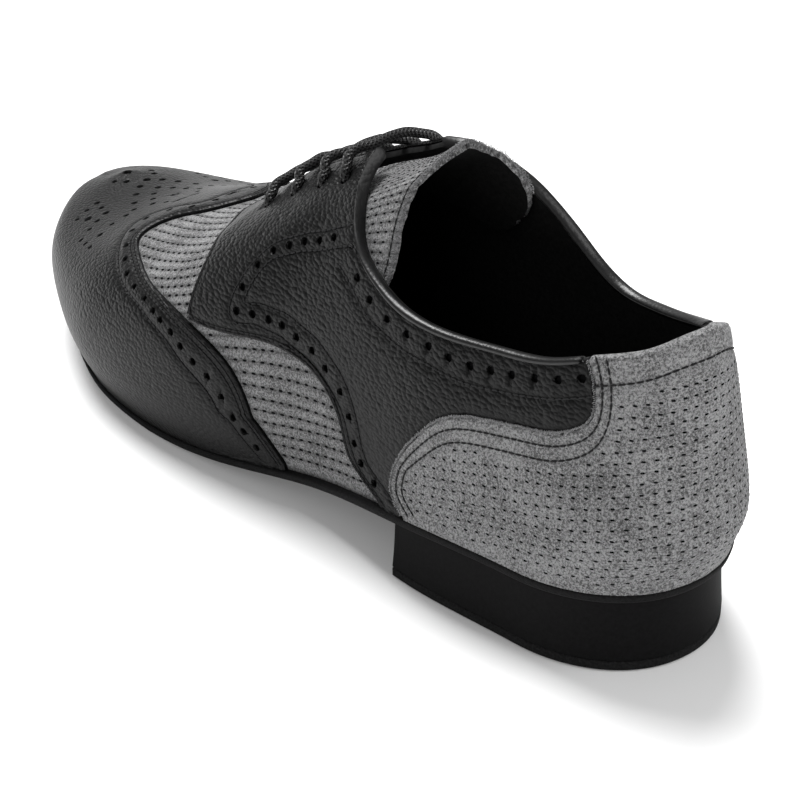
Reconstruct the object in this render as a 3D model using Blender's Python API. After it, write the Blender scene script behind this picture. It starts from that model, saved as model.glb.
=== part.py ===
"""Ballroom dance shoe for the left foot: a two-tone wing-tip derby on a low heel.

The toe points along -Y, the heel along +Y and the wearer's left along +X. The origin is on the
floor under the middle of the shoe. One function, last_point, gives the outermost face of the
upper. Every leather piece is a patch of that face, cut out along its own seams and given two
faces at its own depth, so the pieces lie over each other as they do on a real shoe.
"""
import math

import bmesh
import bpy
import numpy as np
from mathutils import Vector
from mathutils.geometry import delaunay_2d_cdt

for leftover in list(bpy.data.objects):
    bpy.data.objects.remove(leftover, do_unlink=True)

# Sizes of the shoe, in metres
LENGTH = 0.288            # back of the heel to tip of the toe, at the widest level
BALL_WIDTH = 0.099        # widest part of the forefoot
INSTEP_HEIGHT = 0.1032    # floor to the top line, at the top of the facings
COLLAR_HEIGHT = 0.0937   # floor to the collar at the back of the heel
HEEL_HEIGHT = 0.0262      # floor to the lower edge of the upper at the back
TOE_SPRING = 0.0071       # rise of the upper's lower edge from ball to toe tip
BULGE_HEIGHT = 0.0152     # lower edge of the upper to its widest level
EDGE_TUCK = 0.0045        # how far the forefoot turns in under itself at the lower edge

# Thicknesses and clearances
WALL = 0.0018             # lined vamp, the one wall that runs round the whole foot
OVERLAY = 0.0012          # wing cap and quarters
COUNTER_STEP = 0.0004     # how far the heel counter stands out over the quarters
TONGUE_THICK = 0.0024
INSOLE_THICK = 0.0025
SOLE_THICK = 0.0036
TOP_PIECE_THICK = 0.003
GAP = 0.0003              # clearance between pieces that touch
SEAM_TRIM = 0.00015       # trimmed off each side where two pieces meet edge to edge

# Smaller sizes
SOLE_MARGIN = 0.0008      # sole edge beyond the upper
HEEL_LENGTH = 0.0790      # back of the heel to its breast
HEEL_STEP = 0.002         # how far the top of the heel is set in from the upper
HEEL_TAPER = 0.0009       # the same at the floor
THROAT_HALF = 0.0097      # half the gap between the facings at their top
BINDING_WIDTH = 0.0022    # bead along the collar
LACE_RADIUS = 0.00125
EYELET_RADIUS = 0.0019
EYELET_INSET = 0.0095     # eyelet centre from the edge of its facing
LACE_ARCH = 0.004         # how far the first bar stands over the throat

# Sections of the last from heel to toe. place is a share of LENGTH; left and right are half
# widths in BALL_WIDTH; ridge is the top line in INSTEP_HEIGHT; heel_rise and toe_rise lift the
# lower edge by shares of the heel's rise and of TOE_SPRING; tuck is in EDGE_TUCK; full is the
# exponent of the section's upper part, where 2 is an ellipse and more is squarer.
SECTIONS = {
    "place":     (0.00, 0.12, 0.25, 0.40, 0.53, 0.64, 0.74, 0.84, 0.92, 1.00),
    "left":      (.283, .319, .378, .398, .497, .554, .546, .488, .433, .333),
    "right":     (.277, .305, .308, .258, .318, .444, .460, .422, .390, .300),
    "ridge":     (1.28, 1.32, 1.27, 1.00, .785, .622, .532, .434, .378, .360),
    "heel_rise": (1.00, .955, .852, .430, .103, -.004, -.004, .000, .000, .000),
    "toe_rise":  (.000, .000, .000, .000, .000, .000, .040, .270, .580, 1.00),
    "tuck":      (-.24, -.30, -.30, .090, .630, .960, 1.06, 1.04, .980, .870),
    "full":      (1.38, 1.34, 1.56, 2.28, 2.54, 2.43, 2.30, 2.27, 2.30, 2.34),
}

# How the back of the heel and the tip of the toe lean, in LENGTH, by level: -0.4 is the lower
# edge, 0 the widest level and 1 the top line.
LEAN = {
    "level": (-.400, -.200, -.050, .150, .450, .700, 1.000),
    "back":  (.0168, .0054, .0004, .0074, .0195, .0370, .0594),
    "front": (-.0104, -.0033, -.0002, -.0026, -.0135, -.0361, -.0604),
}
HEEL_ROUND = 0.115        # share of LENGTH over which the heel closes in plan
TOE_ROUND = 0.30          # the same for the toe
WIDEST = 0.25             # share of the way up the skin at which the section is widest
EDGE_LEVEL = -0.4         # level of the lower edge in LEAN


def curve(xs, ys):
    """Natural cubic spline through the points of a table's two columns."""
    xs = np.asarray(xs, float)
    ys = np.asarray(ys, float)
    count = len(xs)
    step = np.diff(xs)
    rows = np.eye(count)
    right = np.zeros(count)
    for i in range(1, count - 1):
        rows[i, i - 1:i + 2] = step[i - 1], 2 * (step[i - 1] + step[i]), step[i]
        right[i] = 6 * ((ys[i + 1] - ys[i]) / step[i] - (ys[i] - ys[i - 1]) / step[i - 1])
    bend = np.linalg.solve(rows, right)

    def value(x):
        x = np.clip(np.asarray(x, float), xs[0], xs[-1])
        i = np.clip(np.searchsorted(xs, x) - 1, 0, count - 2)
        a = (xs[i + 1] - x) / step[i]
        b = (x - xs[i]) / step[i]
        cubic = (a ** 3 - a) * bend[i] + (b ** 3 - b) * bend[i + 1]
        return a * ys[i] + b * ys[i + 1] + cubic * step[i] ** 2 / 6
    return value


SECTION = {name: curve(SECTIONS["place"], column) for name, column in SECTIONS.items()}
LEAN_BACK = curve(LEAN["level"], LEAN["back"])
LEAN_FRONT = curve(LEAN["level"], LEAN["front"])
BALL_EDGE = SOLE_THICK + GAP


def edge_height(place):
    """Height of the upper's lower edge."""
    rise = (HEEL_HEIGHT - BALL_EDGE) * SECTION["heel_rise"](place)
    return BALL_EDGE + rise + TOE_SPRING * SECTION["toe_rise"](place)


def closing(place):
    """Share of the full width left where the plan closes at heel and toe."""
    heel = np.clip((HEEL_ROUND - place) / HEEL_ROUND, 0, 1)
    toe = np.clip((place - 1 + TOE_ROUND) / TOE_ROUND, 0, 1)
    return (1 - heel ** 2.1) ** (1 / 2.1) * (1 - toe ** 2.3) ** (1 / 2.3)


def half_width(place, side):
    left = SECTION["left"](place)
    right = SECTION["right"](place)
    return BALL_WIDTH * np.where(np.asarray(side) > 0, left, right)


STATIONS = np.linspace(0, 1, 201)
MIDDLE = float((half_width(STATIONS, 1) * closing(STATIONS)).max()
               - (half_width(STATIONS, -1) * closing(STATIONS)).max()) / 2


def last_point(place, climb, side):
    """Point on the outermost face: climb runs from the lower edge (0) to the top line (1)."""
    place, climb, side = np.broadcast_arrays(*(np.asarray(a, float) for a in (place, climb, side)))
    width = half_width(place, side)
    low = edge_height(place)
    bulge = low + BULGE_HEIGHT
    height = INSTEP_HEIGHT * SECTION["ridge"](place) - bulge
    full = SECTION["full"](place)
    below = np.clip(climb / WIDEST, 0, 1)
    turn = np.clip((climb - WIDEST) / (1 - WIDEST), 0, 1) * np.pi / 2
    reach = np.cos(turn).clip(1e-9) ** (2 / full)
    rise = np.sin(turn) ** (2 / full)
    under = climb < WIDEST
    tuck = EDGE_TUCK * SECTION["tuck"](place) * (1 - below) ** 2
    x = np.where(under, width - tuck, width * reach) * closing(place)
    z = np.where(under, low + BULGE_HEIGHT * below, bulge + height * rise)
    level = np.where(under, EDGE_LEVEL * (1 - below), rise)
    back = LENGTH * LEAN_BACK(level)
    front = LENGTH * (1 + LEAN_FRONT(level))
    y = LENGTH / 2 - back - (front - back) * place
    return np.stack([side * x - MIDDLE, y, z], -1)


def climb_at_height(place, z):
    """How far up the skin a height lies."""
    bulge = edge_height(place) + BULGE_HEIGHT
    height = INSTEP_HEIGHT * SECTION["ridge"](place) - bulge
    share = np.clip((z - bulge) / height, 0, 1)
    return WIDEST + (1 - WIDEST) * np.arcsin(share ** (SECTION["full"](place) / 2)) / (np.pi / 2)


def climb_at_width(place, x, side):
    """How far up the skin the section has narrowed to a distance x from the middle."""
    share = np.clip(x / (half_width(place, side) * closing(place)), 0, 1)
    return WIDEST + (1 - WIDEST) * np.arccos(share ** (SECTION["full"](place) / 2)) / (np.pi / 2)


# Seams of the pattern. Each row is a place along the foot and a climb up the skin, and each
# seam runs smoothly through its rows. Left and right share them, but for the collar.
WING_SEAM = {
    "place": (.430, .453, .484, .536, .600, .654, .716, .758, .752, .722, .700),
    "climb": (.000, .150, .300, .400, .500, .575, .660, .750, .830, .900, 1.00),
}
QUARTER_LOWER = {
    "place": (.283, .326, .345, .353, .371, .408, .463, .524, .550),
    "climb": (.000, .110, .200, .280, .324, .361, .388, .411, .432),
}
QUARTER_FRONT = {
    "place": (.556, .559, .565, .577, .602, .629, .650),
    "climb": (.450, .500, .600, .690, .800, .890, .960),
}
COUNTER_SEAM = {
    "place": (.246, .267, .273, .266, .244, .216, .168, .116, .080, .064, .067, .086),
    "climb": (.000, .080, .160, .260, .330, .385, .421, .441, .462, .495, .530, .580),
}
# Height of the collar on each side, in COLLAR_HEIGHT, up to the corner of the facing.
COLLAR = {
    "place_left":  (.000, .030, .070, .120, .170, .230, .280, .320, .349, .371, .386),
    "left":        (1.00, .954, .915, .862, .838, .821, .831, .869, .918, .994, 1.045),
    "place_right": (.000, .030, .070, .110, .160, .200, .230, .260, .304, .340, .370),
    "right":       (1.00, .938, .870, .828, .798, .796, .840, .925, 1.030, 1.072, 1.088),
}
# Edge of the facing from its top corner to the bottom of the throat: distance from the middle
# in THROAT_HALF.
FACING = {
    "place": (.395, .450, .500, .560, .610, .645, .655, .659),
    "half":  (1.00, .950, .870, .720, .530, .340, .200, .000),
}
# Edge of the tongue, from its front end under the vamp round the left side and over its free
# top end, then down the right side.
TONGUE_SIDE = {
    "place": (.700, .690, .600, .500, .400, .350, .324, .317, .319, .320, .326, .334),
    "climb": (1.00, .860, .760, .700, .600, .512, .506, .535, .640, .750, .870, 1.00),
}
TONGUE_SIDE_RIGHT = {
    "place": (.700, .690, .600, .500, .400, .345, .312, .292, .292, .304, .319, .326, .334),
    "climb": (1.00, .860, .760, .700, .600, .530, .560, .610, .655, .695, .770, .880, 1.00),
}
TONGUE_SAG = 0.005        # how far the free end of the tongue lies under the top line
# Eyelets from the bottom of the throat up: place, distance in from the facing's edge in
# EYELET_INSET, and height of the bar's arch in LACE_ARCH.
EYELETS = {
    "place": (.541, .501, .457, .419),
    "inset": (1.45, 1.12, 0.95, 0.88),
    "arch":  (0.83, 0.85, 0.60, 0.15),
}

# Grid of the skin between the seams
COLUMNS = 40
ROWS = (.00, .07, .16, .25, .34, .43, .52, .61, .70, .79, .87, .94, 1.0)
SEAM_STEP = 0.0065
CROWD = 0.0026            # grid points closer than this to a seam are left out
FLAT_HEIGHT = 0.105       # height of the flat pattern, from lower edge to top line

# Depths below the outermost face
UPPER_FACE = -(OVERLAY + GAP)
UPPER_LINING = UPPER_FACE - WALL
TONGUE_FACE = UPPER_LINING - GAP


def spread(count):
    """Stations from heel to toe, closer together at both ends."""
    return (1 - np.cos(np.pi * np.linspace(0, 1, count))) / 2


FINE = spread(801)
FINE_ARC = np.concatenate([[0], np.cumsum(np.linalg.norm(np.diff(last_point(FINE, .35, 1), axis=0),
                                                         axis=1))])


def flat(place, climb, side):
    """Place on the flat pattern, where the two halves meet along the top line."""
    x = np.interp(place, FINE, FINE_ARC)
    y = np.asarray(side, float) * (1 - np.asarray(climb, float)) * FLAT_HEIGHT
    return np.stack(np.broadcast_arrays(x, y), -1)


def folded(points):
    """Place, climb and side of points on the flat pattern."""
    points = np.asarray(points, float)
    side = np.where(points[:, 1] < 0, -1.0, 1.0)
    climb = 1 - np.abs(points[:, 1]) / FLAT_HEIGHT
    return np.interp(points[:, 0], FINE_ARC, FINE), np.clip(climb, 0, 1), side


def smooth_line(points, step):
    """Evenly spaced points along a smooth curve through the given ones."""
    points = np.asarray(points, float)
    along = np.concatenate([[0], np.cumsum(np.linalg.norm(np.diff(points, axis=0), axis=1))])
    fine = np.linspace(0, along[-1], 400)
    dense = np.stack([curve(along, points[:, 0])(fine), curve(along, points[:, 1])(fine)], -1)
    dense[0], dense[-1] = points[0], points[-1]
    run = np.concatenate([[0], np.cumsum(np.linalg.norm(np.diff(dense, axis=0), axis=1))])
    count = max(2, int(math.ceil(run[-1] / step)) + 1)
    at = np.linspace(0, run[-1], count)
    return np.stack([np.interp(at, run, dense[:, 0]), np.interp(at, run, dense[:, 1])], -1)


def seam(table, side, step=SEAM_STEP):
    return smooth_line(flat(np.array(table["place"]), np.array(table["climb"]), side), step)


def facing_corner(side):
    place = FACING["place"][0]
    return flat(place, climb_at_width(place, THROAT_HALF, side), side)


def collar_line(side):
    name = "left" if side > 0 else "right"
    place = np.array(COLLAR["place_" + name])
    climb = climb_at_height(place, COLLAR_HEIGHT * np.array(COLLAR[name]))
    line = np.concatenate([flat(place, climb, side), [facing_corner(side)]])
    return smooth_line(line, SEAM_STEP)


def facing_line(side):
    place = np.array(FACING["place"])
    climb = climb_at_width(place, THROAT_HALF * np.array(FACING["half"]), side)
    return smooth_line(flat(place, climb, side), SEAM_STEP * .8)


def rim_line(side):
    """Line under the collar bead, run on past both ends so that it crosses their seams."""
    top = collar_line(side)
    way = np.gradient(top, axis=0)
    way /= np.linalg.norm(way, axis=1)[:, None]
    down = side * np.stack([-way[:, 1], way[:, 0]], -1)
    rim = top + down * (BINDING_WIDTH + GAP)
    start = flat(min(COUNTER_SEAM["place"]) * .7, 0, side)[0]
    rim = rim[rim[:, 0] > start]
    return np.concatenate([rim, [rim[-1] + way[-1] * SEAM_STEP]])


def eyelet_ring(place, inset, side, sides=8):
    """Round hole through the facing, as a ring on the flat pattern."""
    half = THROAT_HALF * np.interp(place, FACING["place"], FACING["half"])
    climb = float(climb_at_width(place, half + inset * EYELET_INSET, side))
    centre = flat(place, climb, side)
    small = 1e-5
    at = last_point(*[v[0] for v in folded(centre[None])])
    along = (last_point(*[v[0] for v in folded(centre[None] + [[small, 0]])]) - at) / small
    across = (last_point(*[v[0] for v in folded(centre[None] + [[0, small]])]) - at) / small
    first = along / np.linalg.norm(along)
    second = across - first * (across @ first)
    second /= np.linalg.norm(second)
    ring = []
    for k in range(sides):
        angle = 2 * np.pi * k / sides
        reach = EYELET_RADIUS * (np.cos(angle) * first + np.sin(angle) * second)
        shift = np.linalg.lstsq(np.stack([along, across], 1), reach, rcond=None)[0]
        ring.append(centre + shift)
    return np.array(ring), climb


def inside(points, loop):
    """Which points lie inside a closed loop."""
    x, y = points[:, 0], points[:, 1]
    hit = np.zeros(len(points), bool)
    for (ax, ay), (bx, by) in zip(loop, np.roll(loop, -1, axis=0)):
        crosses = (ay > y) != (by > y)
        with np.errstate(divide="ignore", invalid="ignore"):
            hit ^= crosses & (x < (bx - ax) * (y - ay) / (by - ay) + ax)
    return hit


def distance(points, line):
    """Distance of points from a polyline."""
    best = np.full(len(points), 1e9)
    for a, b in zip(line[:-1], line[1:]):
        run = b - a
        share = np.clip(((points - a) @ run) / (run @ run), 0, 1)
        best = np.minimum(best, np.linalg.norm(points - a - share[:, None] * run, axis=1))
    return best


LEFT, RIGHT = 1, -1
SIDES = {"left": LEFT, "right": RIGHT}
TOP = {side: collar_line(side) for side in SIDES.values()}
EDGE = {side: facing_line(side) for side in SIDES.values()}
RIM = {side: rim_line(side) for side in SIDES.values()}
WING = np.concatenate([seam(WING_SEAM, LEFT), seam(WING_SEAM, RIGHT)[-2::-1]])
LOWER = {side: seam(QUARTER_LOWER, side) for side in SIDES.values()}
FRONT = {side: seam(QUARTER_FRONT, side) for side in SIDES.values()}
COUNTER = {side: seam(COUNTER_SEAM, side, SEAM_STEP * .8) for side in SIDES.values()}
TONGUE = np.concatenate([seam(TONGUE_SIDE, LEFT), seam(TONGUE_SIDE_RIGHT, RIGHT)[-2:0:-1]])
RINGS = {}
HOLES = {}
for number, (place, inset) in enumerate(zip(EYELETS["place"], EYELETS["inset"])):
    for side in SIDES.values():
        RINGS[number, side], HOLES[number, side] = eyelet_ring(place, inset, side)


def skin_mesh():
    """One triangle mesh of the whole outermost face, with every seam along its edges."""
    lines = [WING, TONGUE]
    for side in SIDES.values():
        lines += [TOP[side], EDGE[side], RIM[side], LOWER[side], FRONT[side], COUNTER[side]]
    rings = list(RINGS.values())
    closed = [np.concatenate([ring, ring[:1]]) for ring in rings]
    grid = []
    border = []
    for k, place in enumerate(spread(COLUMNS)):
        for climb in ROWS:
            for side in (LEFT, RIGHT):
                if climb == 1 and side == RIGHT:
                    continue
                on_border = climb == 0 or k in (0, COLUMNS - 1)
                (border if on_border else grid).append(flat(place, climb, side))
    grid = np.array(grid)
    border = np.array(border)
    near = np.min([distance(grid, line) for line in lines + closed], axis=0)
    grid = grid[near > CROWD]
    ends = np.array([end for line in lines for end in (line[0], line[-1])])
    corner = (np.isin(border[:, 0], (0, FINE_ARC[-1]))) & (np.abs(border[:, 1]) > FLAT_HEIGHT * .999)
    clear = np.min(np.linalg.norm(border[:, None] - ends[None], axis=2), axis=1) > CROWD
    border = border[clear | corner]
    # Go round the border in order: along each of its four sides in turn
    x, y = border[:, 0], border[:, 1]
    right_end = x > FINE_ARC[-1] - 1e-9
    left_end = x < 1e-9
    upper_side = y > FLAT_HEIGHT - 1e-9
    lower_side = y < 1e-9 - FLAT_HEIGHT
    parts = [(lower_side, x, 1), (right_end, y, 1), (upper_side, x, -1), (left_end, y, -1)]
    ordered = []
    for choose, key, way in parts:
        picked = border[choose]
        ordered += list(picked[np.argsort(way * key[choose])])
    points = []
    edges = []

    def add(line, loop):
        start = len(points)
        points.extend(Vector(p) for p in line)
        count = len(line)
        edges.extend((start + i, start + i + 1) for i in range(count - 1))
        if loop:
            edges.append((start + count - 1, start))

    add(ordered, True)
    for line in lines:
        add(line, False)
    for ring in rings:
        add(ring, True)
    points.extend(Vector(p) for p in grid)
    verts, _, faces, _, _, _ = delaunay_2d_cdt(points, edges, [], 0, 1e-7)
    flat_points = np.array([tuple(v) for v in verts])
    tris = np.array([tuple(f) for f in faces])
    # Both ends of the pattern fold shut: the left and right halves share their points there
    key = {}
    same = np.arange(len(flat_points))
    for i, (px, py) in enumerate(flat_points):
        if px < 1e-6 or px > FINE_ARC[-1] - 1e-6:
            name = (px > .1, round(abs(py), 6))
            same[i] = key.setdefault(name, i)
    centres = flat_points[tris].mean(1)
    tris = same[tris]
    whole = (tris[:, 0] != tris[:, 1]) & (tris[:, 1] != tris[:, 2]) & (tris[:, 2] != tris[:, 0])
    tris, centres = tris[whole], centres[whole]
    place, climb, side = folded(flat_points)
    return flat_points, last_point(place, climb, side), tris, centres


FLAT, SKIN, TRIS, CENTRES = skin_mesh()
AT_EDGE = np.abs(FLAT[:, 1]) > FLAT_HEIGHT - 1e-6


def skin_normals():
    """Outward direction at each point, as the mean of the faces round it."""
    a, b, c = (SKIN[TRIS[:, k]] for k in range(3))
    face = np.cross(b - a, c - a)
    total = np.zeros_like(SKIN)
    for k in range(3):
        p, q, r = (SKIN[TRIS[:, (k + j) % 3]] for j in range(3))
        u = (q - p) / np.linalg.norm(q - p, axis=1)[:, None]
        v = (r - p) / np.linalg.norm(r - p, axis=1)[:, None]
        angle = np.arccos(np.clip((u * v).sum(1), -1, 1))[:, None]
        unit = face / np.linalg.norm(face, axis=1)[:, None].clip(1e-15)
        np.add.at(total, TRIS[:, k], unit * angle)
    total /= np.linalg.norm(total, axis=1)[:, None].clip(1e-12)
    middle = SKIN.mean(0)
    turned = ((SKIN - middle) * total).sum() < 0
    return -total if turned else total, turned


NORMALS, TURNED = skin_normals()
if TURNED:
    TRIS = TRIS[:, ::-1]

# Which pieces cover each triangle
HOLE = sum(inside(CENTRES, ring) for ring in RINGS.values()) > 0
OPENING_LOOP = np.concatenate([TOP[LEFT], EDGE[LEFT][1:], EDGE[RIGHT][-2::-1], TOP[RIGHT][-2::-1]])
OPENING = inside(CENTRES, OPENING_LOOP)
BEHIND = np.concatenate([[flat(0, 0, LEFT)], COUNTER[LEFT], COUNTER[RIGHT][::-1],
                         [flat(0, 0, RIGHT)]])
IN_COUNTER = inside(CENTRES, BEHIND) & ~OPENING
TOE_LOOP = np.concatenate([[flat(1, 0, LEFT)], WING, [flat(1, 0, RIGHT)]])
IN_WING = inside(CENTRES, TOE_LOOP)
IN_TONGUE = inside(CENTRES, TONGUE)


def on_side(side):
    strip = inside(CENTRES, np.concatenate([TOP[side], RIM[side][::-1]]))
    strip &= ~OPENING & ~IN_COUNTER
    front = np.concatenate([LOWER[side], FRONT[side]])
    ridge = [flat(FACING["place"][-2], 1, side), flat(COUNTER_SEAM["place"][-1], 1, side)]
    loop = np.concatenate([front, ridge, COUNTER[side][::-1]])
    quarter = inside(CENTRES, loop) & ~OPENING & ~IN_COUNTER & ~strip & ~HOLE
    return quarter, strip


QUARTER_LEFT, BEAD_LEFT = on_side(LEFT)
QUARTER_RIGHT, BEAD_RIGHT = on_side(RIGHT)
IN_UPPER = ~OPENING & ~BEAD_LEFT & ~BEAD_RIGHT & ~HOLE


def material(name, colour, roughness):
    made = bpy.data.materials.new(name)
    made.use_nodes = True
    shader = made.node_tree.nodes["Principled BSDF"]
    shader.inputs["Base Color"].default_value = (*colour, 1)
    shader.inputs["Roughness"].default_value = roughness
    shader.inputs["Metallic"].default_value = 0
    return made


LEATHER = material("black_leather", (.022, .022, .023), .42)
SUEDE = material("grey_suede", (.16, .16, .165), .92)
LINING = material("black_lining", (.008, .008, .008), .85)
RUBBER = material("black_heel_rubber", (.012, .012, .012), .6)
SOLE_SUEDE = material("dark_sole_suede", (.02, .02, .02), .9)
CORD = material("black_braided_cord", (.015, .015, .016), .7)


def make(name, points, faces, look, smooth=True):
    """Object from points and faces, with its faces turned outward."""
    mesh = bpy.data.meshes.new(name)
    mesh.from_pydata([tuple(p) for p in points], [], [tuple(int(i) for i in f) for f in faces])
    work = bmesh.new()
    work.from_mesh(mesh)
    bmesh.ops.recalc_face_normals(work, faces=work.faces)
    if work.calc_volume(signed=True) < 0:
        bmesh.ops.reverse_faces(work, faces=work.faces)
    work.to_mesh(mesh)
    work.free()
    if smooth:
        mesh.shade_smooth()
        mesh.set_sharp_from_angle(angle=math.radians(40))
    mesh.materials.append(look)
    piece = bpy.data.objects.new(name, mesh)
    bpy.context.scene.collection.objects.link(piece)
    return piece


def patch(name, chosen, face, back, trim, look):
    """Leather piece: the chosen triangles of the skin, between two depths."""
    tris = TRIS[chosen]
    used = np.unique(tris)
    number = np.full(len(SKIN), -1)
    number[used] = np.arange(len(used))
    tris = number[tris]
    here = SKIN[used].copy()
    normal = NORMALS[used]
    face = face[used] if isinstance(face, np.ndarray) else np.full(len(used), face)
    back = back[used] if isinstance(back, np.ndarray) else np.full(len(used), back)
    sides = {}
    for a, b, c in tris:
        for p, q in ((a, b), (b, c), (c, a)):
            sides[p, q] = (a + b + c) - p - q
    rim = [(p, q) for p, q in sides if (q, p) not in sides]
    if trim:
        inward = np.zeros_like(here)
        for p, q in rim:
            way = here[q] - here[p]
            for end in (p, q):
                step = np.cross(normal[end], way)
                step /= np.linalg.norm(step)
                toward = here[sides[p, q]] - here[p]
                inward[end] += step if step @ toward > 0 else -step
        length = np.linalg.norm(inward, axis=1)
        moved = length > .3
        here[moved] += inward[moved] / length[moved, None] * trim
    outer = here + normal * face[:, None]
    inner = here + normal * back[:, None]
    low = AT_EDGE[used]
    for layer in (outer, inner):
        layer[low, 2] = SKIN[used][low, 2]
    count = len(used)
    faces = [tuple(t) for t in tris] + [tuple(t[::-1] + count) for t in tris]
    faces += [(q, p, p + count) for p, q in rim] + [(q, p + count, q + count) for p, q in rim]
    return make(name, np.concatenate([outer, inner]), faces, look)


def edge_outline(place, side, margin):
    """Point on the upper's lower edge, moved outward in plan by a margin."""
    turn = float(np.arccos(1 - 2 * place) / np.pi)
    small = 1e-3

    def at(u):
        flip = side if 0 <= u <= 1 else -side
        u = -u if u < 0 else (2 - u if u > 1 else u)
        return last_point((1 - np.cos(np.pi * u)) / 2, 0, flip)
    way = at(turn + small) - at(turn - small)
    normal = np.array([way[1], -way[0], 0])
    normal *= -side / np.linalg.norm(normal)
    return at(turn) + normal * margin


def strip_plate(name, places, top, bottom, look):
    """Plate across the foot; top and bottom each give a height and a margin at a place."""
    rows = []
    for side, (height, margin) in ((LEFT, top), (RIGHT, top), (RIGHT, bottom), (LEFT, bottom)):
        row = [edge_outline(place, side, margin) for place in places]
        for point, place in zip(row, places):
            point[2] = height(place)
        rows.append(row)
    points = []
    index = []
    for k in range(len(places)):
        pointed = np.linalg.norm(rows[0][k] - rows[1][k]) < 1e-6
        start = len(points)
        if pointed:
            points += [rows[0][k], rows[2][k]]
            index.append((start, start, start + 1, start + 1))
        else:
            points += [row[k] for row in rows]
            index.append((start, start + 1, start + 2, start + 3))
    faces = []
    for one, two in zip(index[:-1], index[1:]):
        for j in range(4):
            loop = [one[j], two[j], two[(j + 1) % 4], one[(j + 1) % 4]]
            loop = list(dict.fromkeys(loop))
            if len(loop) > 2:
                faces.append(loop)
    for end in (index[0], index[-1]):
        loop = list(dict.fromkeys(end))
        if len(loop) > 2:
            faces.append(loop)
    return make(name, points, faces, look)


def sole_top(place):
    return float(edge_height(place)) - GAP


def sole_bottom(place):
    return max(0.0, sole_top(place) - SOLE_THICK)


def tube(name, path, radius, sides, look):
    """Round solid along a path, with flat ends."""
    path = np.asarray(path, float)
    way = np.gradient(path, axis=0)
    way /= np.linalg.norm(way, axis=1)[:, None]
    across = np.cross(way[0], (0, 1, 0))
    points = []
    for centre, t in zip(path, way):
        across = across - t * (across @ t)
        across /= np.linalg.norm(across)
        other = np.cross(t, across)
        for k in range(sides):
            angle = 2 * np.pi * k / sides
            points.append(centre + radius * (math.cos(angle) * across + math.sin(angle) * other))
    faces = []
    for k in range(len(path) - 1):
        for j in range(sides):
            a, b = k * sides + j, k * sides + (j + 1) % sides
            faces.append((a, b, b + sides, a + sides))
    faces.append(tuple(range(sides)))
    faces.append(tuple(range((len(path) - 1) * sides, len(path) * sides)))
    return make(name, points, faces, look)


def skin_frame(place, climb, side):
    """Point, outward direction and way up the skin at a place on it."""
    small = 1e-4
    at = last_point(place, climb, side)
    up = last_point(place, climb + small, side) - last_point(place, climb - small, side)
    along = last_point(place + small, climb, side) - last_point(place - small, climb, side)
    out = np.cross(along, up)
    out /= np.linalg.norm(out)
    if out[2] < 0:
        out = -out
    return at, out, up / np.linalg.norm(up)


def lace_path(number):
    """One bar: up out of an eyelet, over the throat and down into the one across from it."""
    place = EYELETS["place"][number]
    bend = LACE_RADIUS * 1.6
    ends = []
    for side in (LEFT, RIGHT):
        at, out, up = skin_frame(place, HOLES[number, side], side)
        run = [at - out * (OVERLAY + WALL * .9), at - out * LACE_RADIUS * .3]
        for angle in (0, 30, 60, 90):
            a = math.radians(angle)
            run.append(at + up * bend * (1 - math.cos(a)) + out * bend * math.sin(a))
        ends.append((run, at, up))
    (left, left_at, left_up), (right, right_at, right_up) = ends
    start = left_at[0] + MIDDLE - bend - .001
    finish = -right_at[0] - MIDDLE - bend - .001
    top = LACE_ARCH * EYELETS["arch"][number]
    middle = []
    for x in np.linspace(start, -finish, 9):
        side = LEFT if x > 0 else RIGHT
        at, out, _ = skin_frame(place, min(float(climb_at_width(place, abs(x), side)), .985), side)
        out = out * np.array([min(1, abs(x) / .008), 1, 1])
        out /= np.linalg.norm(out)
        at = last_point(place, climb_at_width(place, abs(x), side), side)
        share = (x / (start if x > 0 else finish)) ** 2
        middle.append(at + out * (bend + top * (1 - share)))
    return left + middle + right[::-1]


# The tongue's free end dips under the line of the instep
PLACE, CLIMB, _ = folded(FLAT)
DIP = np.clip((.47 - PLACE) / .12, 0, 1) ** 2 * np.clip((CLIMB - .72) / .22, 0, 1)
SAG = TONGUE_SAG * DIP * (2 - DIP)

patch("upper", IN_UPPER, UPPER_FACE, UPPER_LINING, 0, SUEDE)
patch("wing_cap", IN_WING & ~OPENING, 0.0, -OVERLAY, 0, LEATHER)
patch("quarter_left", QUARTER_LEFT, 0.0, -OVERLAY, SEAM_TRIM, LEATHER)
patch("quarter_right", QUARTER_RIGHT, 0.0, -OVERLAY, SEAM_TRIM, LEATHER)
patch("heel_counter", IN_COUNTER, COUNTER_STEP, -OVERLAY, SEAM_TRIM, SUEDE)
patch("collar_bead_left", BEAD_LEFT, GAP, UPPER_LINING, GAP, LEATHER)
patch("collar_bead_right", BEAD_RIGHT, GAP, UPPER_LINING, GAP, LEATHER)
patch("tongue", IN_TONGUE, TONGUE_FACE - SAG, TONGUE_FACE - TONGUE_THICK - SAG, 0, SUEDE)

HEEL_END = float(np.interp(HEEL_LENGTH, LENGTH / 2 - last_point(FINE, 0, 1)[:, 1], FINE))
ALL_PLACES = spread(33)
HEEL_PLACES = HEEL_END * (1 - np.cos(np.pi / 2 * np.linspace(0, 1, 12)))
INSOLE_MARGIN = -(OVERLAY + WALL + 3 * GAP)

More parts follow.
